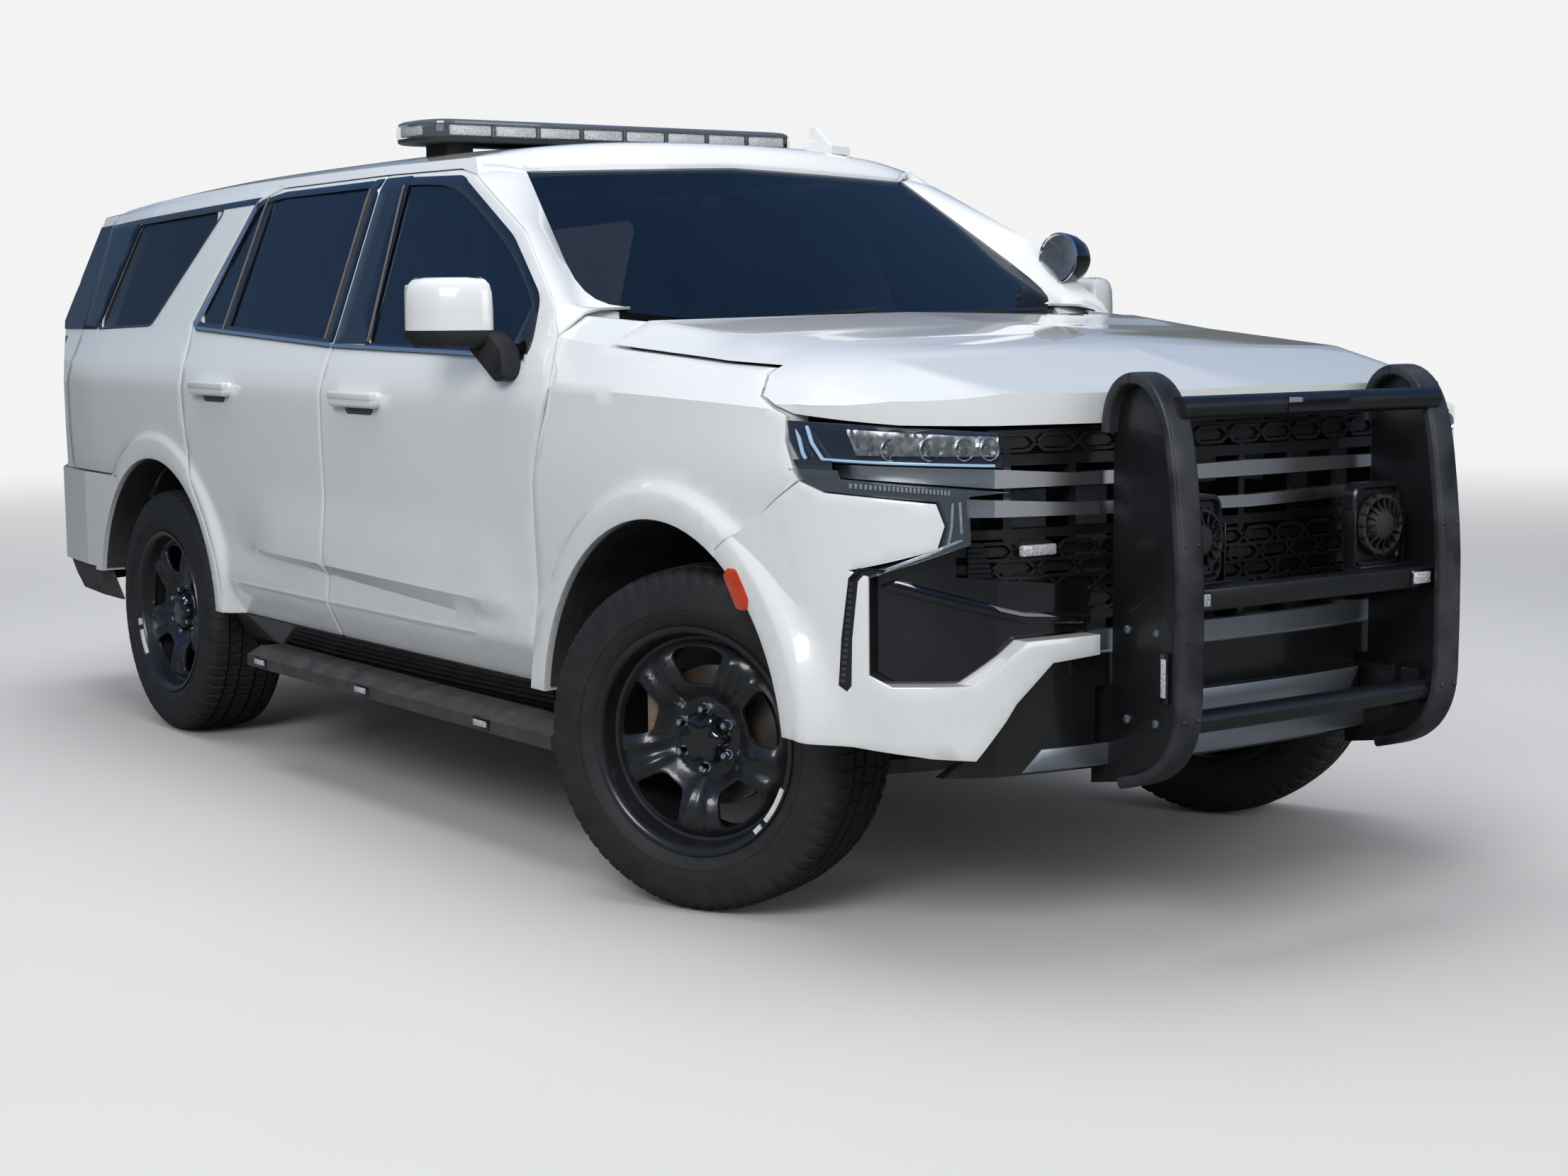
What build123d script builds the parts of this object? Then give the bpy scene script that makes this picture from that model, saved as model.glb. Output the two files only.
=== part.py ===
from build123d import *
import math
import os

# Police SUV, millimetres. X is across with the vehicle's left positive, Y runs rearward, Z is up.
# The origin lies on the ground under the middle of the vehicle's box. Distances along the vehicle are
# first given as stations behind the front axle, and at() turns a station into Y.

# Driving dimensions
WHEELBASE = 3071.0
TRACK = 1740.0
REAR_OVERHANG = 1320.0
GUARD_REACH = 1130.0
PANEL_GAP = 5.0
FIT_GAP = 0.3

# Wheels and steering
TYRE_RADIUS = 404.0
TYRE_WIDTH = 275.0
RIM_RADIUS = 254.0
RIM_FLANGE_RADIUS = 268.0
RIM_HALF_WIDTH = 122.0
DISC_RADIUS = 165.0
BOLT_CIRCLE = 139.7
LUG_COUNT = 6
WINDOW_COUNT = 5
PARKED_STEER = 24.5
KINGPIN_X = 800.0

# Body
SKIN = 12.0
DOOR_WALL = 110.0
FRAME_WALL = 48.0
ROOF_WALL = 42.0
BONNET_WALL = 30.0
DOOR_STEP = 18.0
GLASS_SINK = 5.0
GLASS = 6.0
SILL_Z = 372.0
DOOR_FOOT_Z = 455.0
BELT_Z = 1300.0
ARCH_RADIUS = 512.0
ARCH_LIP = 58.0
LIP_X = 1029.0
LIP_ROOT_X = 946.0
LINER_WALL = 6.0
FRONT_WALL = 60.0

HALF_LENGTH = (GUARD_REACH + WHEELBASE + REAR_OVERHANG) / 2
HALF_TRACK = TRACK / 2
AXLE_Z = TYRE_RADIUS


def at(station):
    """Y of a station behind the front axle."""
    return station + GUARD_REACH - HALF_LENGTH


FRONT_AXLE = at(0)
REAR_AXLE = at(WHEELBASE)

os.makedirs("parts", exist_ok=True)


def save(part, label):
    """Labels a finished piece and writes it as one STEP file."""
    part.label = label
    export_step(part, "parts/" + label + ".step")


def turned(points):
    """The same corners, put in counter-clockwise order."""
    pairs = zip(points, points[1:] + points[:1])
    area = sum(a * d - c * b for (a, b), (c, d) in pairs)
    return points if area > 0 else points[::-1]


def side_prism(points, x_low, x_high, radius=0.0):
    """A prism along X whose side view is a closed polygon of (station, z) corners."""
    with BuildPart() as prism:
        with BuildSketch(Plane.YZ.offset(x_low)):
            with BuildLine():
                Polyline(*turned([(at(s), z) for s, z in points]), close=True)
            outline = make_face()
            if radius:
                fillet(outline.vertices(), radius)
        extrude(amount=x_high - x_low)
    return prism.part


def front_prism(points, s_low, s_high, radius=0.0):
    """A prism along Y whose front view is a closed polygon of (x, z) corners."""
    with BuildPart() as prism:
        with BuildSketch(Plane.XZ.offset(-at(s_high))):
            with BuildLine():
                Polyline(*turned(points), close=True)
            outline = make_face()
            if radius:
                fillet(outline.vertices(), radius)
        extrude(amount=s_high - s_low)
    return prism.part


def plan_prism(points, z_low, z_high, radius=0.0):
    """A prism along Z whose plan is a closed polygon of (x, station) corners."""
    with BuildPart() as prism:
        with BuildSketch(Plane.XY.offset(z_low)):
            with BuildLine():
                Polyline(*turned([(x, at(s)) for x, s in points]), close=True)
            outline = make_face()
            if radius:
                fillet(outline.vertices(), radius)
        extrude(amount=z_high - z_low)
    return prism.part


def side_disc(station, z, radius, x_low, x_high):
    """A round prism along X."""
    with BuildPart() as disc:
        with BuildSketch(Plane.YZ.offset(x_low)):
            with Locations((at(station), z)):
                Circle(radius)
        extrude(amount=x_high - x_low)
    return disc.part


def box(x_low, x_high, s_low, s_high, z_low, z_high):
    """A plain block between two corners."""
    with BuildPart() as block:
        with BuildSketch(Plane.XY.offset(z_low)):
            with Locations(((x_low + x_high) / 2, at((s_low + s_high) / 2))):
                Rectangle(x_high - x_low, s_high - s_low)
        extrude(amount=z_high - z_low)
    return block.part


def combine(first, keep=(), cut=(), join=()):
    """Intersects, cuts and joins finished solids in that order."""
    with BuildPart() as piece:
        add(first)
        for tool in keep:
            add(tool, mode=Mode.INTERSECT)
        for tool in cut:
            add(tool, mode=Mode.SUBTRACT)
        for tool in join:
            add(tool)
    return piece.part


def moved(part, x=0.0, y=0.0, z=0.0):
    """A copy of a part, shifted."""
    return part.moved(Location((x, y, z)))


def mirrored(part):
    """The same part on the other side of the vehicle."""
    return mirror(part, about=Plane.YZ)


def both(part):
    """Left and right copies in one piece."""
    with BuildPart() as pair:
        add(part)
        add(mirrored(part))
    return pair.part


def tube(points, radius):
    """A round bar along a bent path of (x, station, z) points."""
    path_points = [(x, at(s), z) for x, s, z in points]
    with BuildPart() as bar:
        with BuildLine() as path:
            Polyline(*path_points)
        start = Plane(path.line @ 0, z_dir=path.line % 0)
        with BuildSketch(start):
            Circle(radius)
        sweep(transition=Transition.ROUND)
    return bar.part


# Cabin cross-sections: half widths at fixed heights, then the roof gutter and the crown.
CABIN_ROWS = (SILL_Z, 560.0, 680.0, 1000.0, 1150.0, 1228.0, 1330.0, 1745.0)
CABIN_SECTIONS = (
    # station, half widths at CABIN_ROWS, gutter x, gutter z, crown z
    (440.0, (915, 1003, 990, 1010, 1012, 996, 950, 790), 748, 1808, 1868),
    (1240.0, (926, 1013, 1000, 1018, 1020, 1003, 960, 808), 762, 1813, 1872),
    (1900.0, (930, 1018, 1004, 1022, 1024, 1006, 962, 812), 766, 1815, 1887),
    (2800.0, (928, 1014, 1002, 1020, 1022, 1004, 960, 812), 764, 1808, 1883),
    (3600.0, (915, 1000, 990, 1012, 1014, 994, 950, 805), 756, 1784, 1862),
    (4340.0, (850, 945, 940, 965, 967, 950, 905, 770), 722, 1740, 1815),
)

# Nose cross-sections: lower side rows are shared, the upper ones carry the wing's crease, the bonnet cut
# and the bonnet's own shoulder.
NOSE_LOW_ROWS = (SILL_Z, 560.0, 680.0, 1000.0)
NOSE_SECTIONS = (
    # station, half widths at NOSE_LOW_ROWS, then (x, z) of crease, cut, shoulder, and the middle z
    (600.0, (917, 1004, 991, 1011), (998, 1212), (948, 1336), (840, 1396), 1404),
    (0.0, (913, 1000, 988, 1006), (992, 1196), (918, 1275), (770, 1330), 1352),
    (-480.0, (905, 990, 982, 1003), (975, 1176), (893, 1238), (735, 1288), 1308),
    (-1000.0, (905, 985, 980, 995), (935, 1112), (820, 1140), (650, 1176), 1192),
)


def section_loft(outlines):
    """Joins half sections, each (station, corners from the bottom middle up to the top middle)."""
    with BuildPart() as half:
        for station, corners in outlines:
            with BuildSketch(Plane.XZ.offset(-at(station))):
                with BuildLine():
                    Polyline(*corners, close=True)
                make_face()
        loft(ruled=True)
    return half.part


def cabin_half():
    """The left half of the cabin as one closed solid."""
    outlines = []
    for station, widths, gutter_x, gutter_z, crown_z in CABIN_SECTIONS:
        rise = crown_z - gutter_z
        side = list(zip(widths, CABIN_ROWS))
        roof = [(gutter_x, gutter_z), (gutter_x * 0.72, gutter_z + rise * 0.60)]
        roof += [(gutter_x * 0.36, gutter_z + rise * 0.92), (0, crown_z)]
        outlines.append((station, [(0, SILL_Z)] + side + roof))
    return section_loft(outlines)


def nose_half():
    """The left half of the body ahead of the screen as one closed solid."""
    outlines = []
    for station, widths, crease, cut, shoulder, middle_z in NOSE_SECTIONS:
        side = list(zip(widths, NOSE_LOW_ROWS))
        outlines.append((station, [(0, SILL_Z)] + side + [crease, cut, shoulder, (0, middle_z)]))
    return section_loft(outlines)


CABIN = cabin_half()
NOSE = nose_half()

# Plan of the nose, bowed across the front and round at the corners
NOSE_TIP = -940.0
NOSE_MIDDLE_X = 700.0
NOSE_MIDDLE_S = -866.0
NOSE_CORNER_X = 905.0
NOSE_CORNER_S = -705.0
NOSE_SIDE_X = 1003.0
NOSE_SIDE_S = -470.0
NOSE_BACK_S = -240.0


def nose_plan(depth, z_low, z_high):
    """The nose's plan, its front face sunk by depth, as an upright prism."""
    tip = (0, at(NOSE_TIP + depth))
    middle = (NOSE_MIDDLE_X - 0.22 * depth, at(NOSE_MIDDLE_S + 0.98 * depth))
    corner = (NOSE_CORNER_X - 0.72 * depth, at(NOSE_CORNER_S + 0.70 * depth))
    side = (NOSE_SIDE_X - depth, at(NOSE_SIDE_S))
    back = (NOSE_SIDE_X + 30 - depth, at(NOSE_BACK_S))
    with BuildPart() as prism:
        with BuildSketch(Plane.XY.offset(z_low)):
            with BuildLine():
                ThreePointArc((-middle[0], middle[1]), tip, middle)
                ThreePointArc(middle, corner, side)
                Line(side, back)
                Line(back, (-back[0], back[1]))
                Line((-back[0], back[1]), (-side[0], side[1]))
                ThreePointArc((-side[0], side[1]), (-corner[0], corner[1]), (-middle[0], middle[1]))
            make_face()
        extrude(amount=z_high - z_low)
    return prism.part


def nose_band(d_low, d_high, z_low, z_high):
    """An upright wall that follows the nose's plan between two depths."""
    return combine(nose_plan(d_low, z_low, z_high), cut=[nose_plan(d_high, z_low - 1, z_high + 1)])


# Side outlines as (station, z)
FRONT_DOOR = [
    (599, DOOR_FOOT_Z), (575, 967), (505, 1203), (548, 1330), (600, 1408), (855, 1596),
    (1225, 1762), (1330, 1781), (1768, 1785), (1768, DOOR_FOOT_Z),
]
REAR_DOOR = [
    (1773, DOOR_FOOT_Z), (1773, 1785), (2500, 1779), (2640, 1738), (2878, 1362), (2830, 1240),
    (2812, 1110), (2790, 966), (2745, 860), (2640, 740), (2560, 620), (2508, DOOR_FOOT_Z),
]
FRONT_WINDOW = [(660, 1292), (690, 1417), (913, 1572), (1290, 1746), (1626, 1756), (1556, 1306)]
REAR_WINDOW = [(1822, 1316), (1822, 1756), (2456, 1750), (2610, 1730), (2830, 1366)]
QUARTER_WINDOW = [(3243, 1358), (2892, 1728), (3634, 1704), (3775, 1346)]
WING = [
    (594, DOOR_FOOT_Z), (570, 967), (500, 1203), (543, 1332), (590, 1400), (350, 1386), (322, 1306),
    (-112, 1272), (-283, 1264), (-338, 1204), (-466, 1166), (-474, 1112), (-530, 1032),
    (-262, 866), (-262, DOOR_FOOT_Z),
]
BONNET = [
    (345, 1500), (345, 1388), (316, 1312), (-113, 1278), (-287, 1270), (-344, 1208),
    (-470, 1171), (-700, 1150), (-1100, 1142), (-1100, 1500),
]
REAR_BUMPER_TOP_Z = 838.0
BODY_SIDE = [
    (605, 360), (605, 500), (520, 900), (440, 1300), (440, 1420), (1150, 1900),
    (4100, 1900), (4160, 1500), (4262, 1320), (4262, REAR_BUMPER_TOP_Z + PANEL_GAP),
    (3400, REAR_BUMPER_TOP_Z + PANEL_GAP), (3400, DOOR_FOOT_Z), (2700, DOOR_FOOT_Z), (2520, 360),
]


def grown(points, gap, radius=0.0):
    """A side outline pushed outwards by a gap, as a prism on the left."""
    with BuildPart() as prism:
        with BuildSketch(Plane.YZ.offset(500)):
            with BuildLine():
                Polyline(*turned([(at(s), z) for s, z in points]), close=True)
            outline = make_face()
            if radius:
                fillet(outline.vertices(), radius)
            if gap:
                offset(amount=gap, kind=Kind.INTERSECTION, mode=Mode.REPLACE)
        extrude(amount=700)
    return prism.part


# Windscreen: an arc in plan, carried up a slanted line
SCREEN_FOOT_S = 660.0
SCREEN_FOOT_Z = 1421.0
SCREEN_HEAD_S = 1231.0
SCREEN_HEAD_Z = 1772.0
SCREEN_FOOT_X = 810.0
SCREEN_HEAD_X = 667.0
SCREEN_BOW = 130.0
SCREEN_LOW_Z = 1300.0
SCREEN_HIGH_Z = 1900.0


def screen_prism(depth, far):
    """Everything from the screen's surface, sunk by depth, back to the surface sunk by far."""
    slope = (SCREEN_HEAD_S - SCREEN_FOOT_S) / (SCREEN_HEAD_Z - SCREEN_FOOT_Z)
    foot = SCREEN_FOOT_S + slope * (SCREEN_LOW_Z - SCREEN_FOOT_Z)
    edge = SCREEN_FOOT_X + 260
    bow = SCREEN_BOW * (edge / SCREEN_FOOT_X) ** 2
    rear = bow - SCREEN_BOW
    lift = SCREEN_HIGH_Z - SCREEN_LOW_Z
    with BuildPart() as prism:
        with BuildSketch(Plane.XY.offset(SCREEN_LOW_Z)):
            with BuildLine():
                tip = (0, at(foot + depth - SCREEN_BOW))
                left = (edge, at(foot + depth + rear))
                ThreePointArc((-left[0], left[1]), tip, left)
                Line(left, (edge, at(foot + far + rear)))
                ThreePointArc(
                    (edge, at(foot + far + rear)),
                    (0, at(foot + far - SCREEN_BOW)),
                    (-edge, at(foot + far + rear)),
                )
                Line((-edge, at(foot + far + rear)), (-left[0], left[1]))
            make_face()
        extrude(amount=lift * math.hypot(1, slope), dir=(0, slope, 1))
    return prism.part


AHEAD_OF_SCREEN = screen_prism(-3000, 0)

# Rear face of the cabin, leaning forward above the belt, and its plan with round corners
REAR_LEAN = [(400, 300), (400, 2000), (3960, 2000), (4050, 1800), (4245, 1300), (4330, 860), (4330, 300)]
REAR_PLAN = [(-1100, 300), (-1100, 3800), (-1010, 3960), (-900, 4215), (-790, 4298), (-500, 4326)]
REAR_PLAN = REAR_PLAN + [(-x, s) for x, s in reversed(REAR_PLAN)]


def rear_limit(depth):
    """The space ahead of the rear face and inside the rear corners, sunk by depth."""
    lean = side_prism([(s - depth, z) for s, z in REAR_LEAN], -1200, 1200)
    plan = plan_prism([(x, s - (depth if s > 3800 else 0)) for x, s in REAR_PLAN], 250, 2100)
    return combine(lean, keep=[plan])


REAR_FACE = rear_limit(0)
REAR_INNER = rear_limit(FRAME_WALL)


def side_slab(d_low, d_high, z_low, z_high):
    """The left body wall between two depths measured along X."""
    band = box(300, 1200, 300, 4400, z_low, z_high)
    return combine(CABIN, keep=[band, moved(CABIN, -d_low)], cut=[moved(CABIN, -d_high)])


LOWER_WALL = side_slab(0, DOOR_WALL, SILL_Z - 10, BELT_Z)
UPPER_WALL = side_slab(0, FRAME_WALL, BELT_Z, 1830)
DOOR_SKIN = side_slab(0, SKIN, SILL_Z, 1830)
CABIN_GLASS = side_slab(GLASS_SINK, GLASS_SINK + GLASS, BELT_Z - 20, 1800)

FRONT_ARCH = side_disc(-8, AXLE_Z, ARCH_RADIUS, 500, 1200)
REAR_ARCH = side_disc(WHEELBASE + 8, AXLE_Z, ARCH_RADIUS, 500, 1200)


def arch_lip(station, outline):
    """A raised lip round a wheel arch, kept inside one panel's side outline."""
    ring = side_disc(station, AXLE_Z, ARCH_RADIUS + ARCH_LIP, LIP_ROOT_X, LIP_X)
    hole = side_disc(station, AXLE_Z, ARCH_RADIUS, 900, 1200)
    return combine(ring, keep=[outline], cut=[hole])


# Plan of the roof panel, which fills the space between the gutters
ROOF_PLAN = [(752, 700), (762, 1240), (766, 1900), (764, 2800), (756, 3600), (728, 4200)]


def roof_prism(gap):
    """The space above the gutters' plan, widened by a gap."""
    right = [(x + gap, s) for x, s in ROOF_PLAN]
    return plan_prism(right + [(-x, s) for x, s in reversed(right)], 1500, 2000)


inside_roof = roof_prism(-FIT_GAP)
roof_clear = roof_prism(PANEL_GAP)


# Handle, shared by the four doors: centre station, z
HANDLES = {"front": (1520.0, 1152.0), "rear": (2546.0, 1160.0)}
HANDLE_LENGTH = 280.0
HANDLE_HEIGHT = 44.0
HANDLE_REACH = 1052.0


def door(outline, window, handle):
    """One left door: skin, stepped inner frame, window hole and handle."""
    prism = grown(outline, 0, 12)
    inner = grown(outline, -DOOR_STEP)
    hole = grown(window, 0, 30)
    skin = combine(DOOR_SKIN, keep=[prism], cut=[hole, AHEAD_OF_SCREEN, roof_clear])
    lower = combine(LOWER_WALL, keep=[inner], cut=[hole])
    upper = combine(UPPER_WALL, keep=[inner], cut=[hole, AHEAD_OF_SCREEN, roof_clear])
    station, z = handle
    with BuildPart() as grip:
        with BuildSketch(Plane.YZ.offset(1000)):
            with Locations((at(station), z)):
                RectangleRounded(HANDLE_LENGTH, HANDLE_HEIGHT, 18)
        extrude(amount=HANDLE_REACH - 1000)
        fillet(grip.edges().filter_by(Axis.Y).sort_by(Axis.X)[-2:], 10)
    return combine(skin, join=[lower, upper, grip.part])


front_door = door(FRONT_DOOR, FRONT_WINDOW, HANDLES["front"])
rear_door = door(REAR_DOOR, REAR_WINDOW, HANDLES["rear"])
save(front_door, "front_door_left")
save(mirrored(front_door), "front_door_right")
save(rear_door, "rear_door_left")
save(mirrored(rear_door), "rear_door_right")

for place, window in (("front", FRONT_WINDOW), ("rear", REAR_WINDOW)):
    pane = combine(CABIN_GLASS, keep=[grown(window, -FIT_GAP, 30)])
    save(pane, place + "_door_glass_left")
    save(mirrored(pane), place + "_door_glass_right")

# Body side: pillars, sill and rear quarter, with the door openings cut right through
side_outline = side_prism(BODY_SIDE, 300, 1200)
quarter_hole = grown(QUARTER_WINDOW, 0, 30)
wing_space = grown(WING, PANEL_GAP)
DOOR_SWING = 7.0
HINGE_Z = (560.0, 1000.0)
HINGE_HEIGHT = 80.0
HINGE_DEPTH = (FRONT_WALL + 2, DOOR_WALL - 5)


def inner_opening(outline):
    """The smaller hole that the stepped inner part of a door needs, with room for its swing."""
    hole = grown(outline, PANEL_GAP - DOOR_STEP)
    return combine(hole, join=[moved(hole, y=DOOR_SWING)])


def hinges(outline, s_low, s_high):
    """Two hinge blocks between a door's front edge and the pillar ahead of it."""
    ring = combine(grown(outline, PANEL_GAP - DOOR_STEP + 3), cut=[grown(outline, FIT_GAP - DOOR_STEP)])
    with BuildPart() as pair:
        for z in HINGE_Z:
            add(combine(side_slab(*HINGE_DEPTH, z, z + HINGE_HEIGHT), keep=[ring, box(500, 1200, s_low, s_high, 0, 2000)]))
    return pair.part


outer_holes = [combine(grown(outline, PANEL_GAP), cut=[moved(CABIN, -SKIN - PANEL_GAP)])
               for outline in (FRONT_DOOR, REAR_DOOR)]
inner_holes = [inner_opening(outline) for outline in (FRONT_DOOR, REAR_DOOR)]
door_holes = outer_holes + inner_holes
quarter_lip = combine(
    arch_lip(WHEELBASE + 8, box(900, 1200, 2300, 3900, DOOR_FOOT_Z, 1100)),
    cut=[box(900, 1200, 3400, 3900, 400, REAR_BUMPER_TOP_Z + PANEL_GAP)],
)
lower_side = combine(
    LOWER_WALL, keep=[side_outline, REAR_FACE], cut=door_holes + [wing_space, REAR_ARCH]
)
upper_side = combine(
    UPPER_WALL, keep=[side_outline, REAR_FACE],
    cut=door_holes + [quarter_hole, roof_prism(0), AHEAD_OF_SCREEN, wing_space],
)
TAILGATE = [
    (822, 694), (822, 976), (694, 984), (694, 1322), (812, 1330), (700, 1742), (620, 1900),
    (-620, 1900), (-700, 1742), (-812, 1330), (-694, 1322), (-694, 984), (-822, 976), (-822, 694),
]
TAILGATE_TOP_S = 3990.0
TAILGATE_WALL = 62.0
TAIL_LAMP = [(700, 990), (700, 1316), (1100, 1316), (1100, 990)]
TAIL_LAMP_S = 4125.0
LAMP_DEPTH = 70.0
tailgate_prism = front_prism(TAILGATE, 3700, 4500)
tailgate_space = combine(
    front_prism([(x + math.copysign(PANEL_GAP, x), z) for x, z in TAILGATE], TAILGATE_TOP_S - PANEL_GAP, 4500)
)
lamp_space = box(TAIL_LAMP[0][0] - FIT_GAP, 1100, TAIL_LAMP_S - FIT_GAP, 4500,
                 TAIL_LAMP[0][1] - FIT_GAP, TAIL_LAMP[1][1] + FIT_GAP)
screen_outline = front_prism(
    [(-818, 1400), (8 - SCREEN_HEAD_X, SCREEN_HEAD_Z + 2), (0, SCREEN_HEAD_Z + 26),
     (SCREEN_HEAD_X - 8, SCREEN_HEAD_Z + 2), (818, 1400), (420, 1352), (-420, 1352)], 300, 1500)
PILLAR_DEPTH = 60.0
PILLAR_WIDTH = 190.0
screen_hole = front_prism(
    [(0, 1351), (420.3, 1351), (818.5, 1399.7), (SCREEN_HEAD_X - 7.6, SCREEN_HEAD_Z + 2.3), (0, SCREEN_HEAD_Z + 27)],
    300, 1500)
pillar = combine(
    side_slab(0, PILLAR_WIDTH, 1340, 1830), keep=[screen_prism(0, PILLAR_DEPTH), box(600, 1200, 560, 1300, 1340, 1830)],
    cut=outer_holes + [combine(inner_holes[0], cut=[moved(CABIN, -FRAME_WALL - PANEL_GAP)]), wing_space,
                       roof_prism(0), screen_hole],
)
hinge_pillar = combine(
    side_slab(FRONT_WALL + FIT_GAP, DOOR_WALL, SILL_Z, 1420), keep=[box(500, 1200, 490, 660, SILL_Z, 1420)],
    cut=[inner_holes[0], AHEAD_OF_SCREEN, combine(NOSE, keep=[wing_space], cut=[moved(NOSE, -FRONT_WALL - FIT_GAP)])],
)
quarter_lip = combine(quarter_lip, cut=[grown(REAR_DOOR, PANEL_GAP)])
body_side = combine(lower_side, join=[
    upper_side, pillar, hinge_pillar, quarter_lip, hinges(FRONT_DOOR, 480, 700), hinges(REAR_DOOR, 1780, 1800)])
body_side = combine(body_side, cut=[tailgate_space, lamp_space])
save(body_side, "body_side_left")
save(mirrored(body_side), "body_side_right")
quarter_pane = combine(CABIN_GLASS, keep=[grown(QUARTER_WINDOW, -FIT_GAP, 30)])
screen = combine(
    screen_prism(GLASS_SINK, GLASS_SINK + 2 * GLASS), keep=[screen_outline, box(-900, 900, 378, 1500, 1320, 1900)]
)
with BuildPart() as fixed_glass:
    add(screen)
    add(both(quarter_pane))
save(fixed_glass.part, "fixed_glass")

# Roof: the crown between the gutters, with the header above the screen
CABIN_BOTH = both(CABIN)
roof = combine(
    CABIN_BOTH,
    keep=[inside_roof, box(-800, 800, 800, 3985, 1700, 2000)],
    cut=[moved(CABIN_BOTH, 0, 0, -ROOF_WALL), AHEAD_OF_SCREEN, combine(
        screen_prism(-50, 120), keep=[front_prism(
            [(-700, 1300), (-SCREEN_HEAD_X, SCREEN_HEAD_Z + 6), (0, SCREEN_HEAD_Z + 30),
             (SCREEN_HEAD_X, SCREEN_HEAD_Z + 6), (700, 1300)], 300, 1500)])],
)
tailgate_pad = box(370, 430, 3950, TAILGATE_TOP_S - FIT_GAP, 1782, 1808)
save(combine(roof, join=[both(tailgate_pad)]), "roof")

# Front wings with their arch lips, and the bonnet
wing_prism = grown(WING, 0)
wing_wall = combine(
    NOSE, keep=[wing_prism, box(855, 1100, -1000, 700, 400, 1500)], cut=[moved(NOSE, -FRONT_WALL), FRONT_ARCH]
)
wing_lip = combine(arch_lip(-8, box(900, 1200, -262, 600, DOOR_FOOT_Z, 1100)), keep=[wing_prism])
wing = combine(wing_wall, join=[wing_lip])
save(both(wing), "front_wings")

NOSE_BOTH = both(NOSE)
BONNET_FRONT_WALL = 24.0
BONNET_LIP_Z = 1142.0
BONNET_SETBACK = 45.0
bonnet_space = both(combine(side_prism(BONNET, 0, 1200)))
bonnet_top = combine(
    NOSE_BOTH, keep=[bonnet_space, nose_plan(BONNET_SETBACK, 1000, 1500)], cut=[moved(NOSE_BOTH, 0, 0, -BONNET_WALL)]
)
bonnet_back = combine(
    NOSE_BOTH, keep=[bonnet_space, box(-1000, 1000, -300, 345, 1000, 1500)],
    cut=[moved(NOSE_BOTH, 0, 0, -BONNET_WALL)]
)
bonnet_lip = combine(
    NOSE_BOTH, keep=[bonnet_space, nose_band(BONNET_SETBACK, BONNET_SETBACK + BONNET_FRONT_WALL, BONNET_LIP_Z, 1400)]
)
bonnet = combine(bonnet_top, join=[bonnet_back, bonnet_lip])
save(bonnet, "bonnet")

# Front face: outlines as (x, z) on the left, depths behind the nose's plan
BUMPER_CORNER = [(1100, 850), (1100, 480), (983, 480), (835, 450), (757, 444), (675, 562), (587, 644),
                 (470, 654), (470, 697), (648, 693), (762, 604), (892, 601), (922, 624), (922, 834),
                 (946, 846), (824, 893), (812, 942), (826, 988), (970, 1008), (1010, 1030), (1100, 1030)]
LAMP = [(1003, 1160), (960, 1156), (700, 1134), (692, 1060), (958, 1070), (1003, 1060)]
LAMP_FRAME = [(1003, 1076), (957, 1076), (955, 1038), (692, 1010), (770, 1003), (766, 902), (921, 830),
              (917, 842), (816, 890), (806, 942), (820, 992), (972, 1012), (1003, 1034)]
CORNER_PANEL = [(918, 828), (768, 898), (768, 830), (470, 800), (470, 704), (650, 699), (764, 610),
                (889, 607), (916, 626)]
CHROME_UPPER = [(950, 1040), (690, 1015), (0, 1015), (0, 1050), (500, 1042), (700, 1056), (950, 1066)]
CHROME_LOWER = [(764, 955), (0, 945), (0, 972), (500, 979), (764, 995)]
VALANCE = [(750, 440), (670, 558), (583, 640), (466, 650), (0, 650), (0, 400), (790, 400)]

bumper_side = combine(
    nose_band(0, FRONT_WALL, 440, 1030), keep=[box(0, 1100, -1000, -262, 440, 1030)]
)
bumper_outline = front_prism(BUMPER_CORNER, -1000, -240)
wing_clear = grown(WING, PANEL_GAP)
corner = combine(
    bumper_side, keep=[bumper_outline],
    cut=[wing_clear, FRONT_ARCH, side_prism([(-200, 440), (-544, 440), (-544, 480), (-530, 500), (-200, 500)],
                                             500, 1200)],
)
bumper_lip = combine(arch_lip(-8, box(900, 1200, -560, -262, 500, 1000)), cut=[wing_clear])
BEAM_BACK = 260.0
BEAM_Z = (590.0, 690.0)
beam = combine(nose_band(FRONT_WALL, BEAM_BACK, *BEAM_Z), keep=[box(-900, 900, -1000, -560, *BEAM_Z)])
left_corner = combine(corner, join=[bumper_lip])
front_bumper = combine(both(left_corner), join=[beam])
save(front_bumper, "front_bumper")


def face_piece(outline, d_low, d_high, radius=0.0):
    """A left piece of the front face between two depths, inside a front-view outline."""
    heights = [z for _, z in outline]
    band = nose_band(d_low, d_high, min(heights) - 5, max(heights) + 5)
    return combine(band, keep=[front_prism(outline, -1000, -240, radius)])


bonnet_clear = grown(BONNET, PANEL_GAP)
lamp = combine(face_piece(LAMP, 25, 150), cut=[wing_clear, bonnet_clear])
lamp_frame = combine(face_piece(LAMP_FRAME, 8, 50), cut=[wing_clear])
save(both(combine(lamp, join=[lamp_frame])), "headlamps")
save(both(face_piece(CORNER_PANEL, 40, FRONT_WALL)), "corner_panels")

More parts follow.
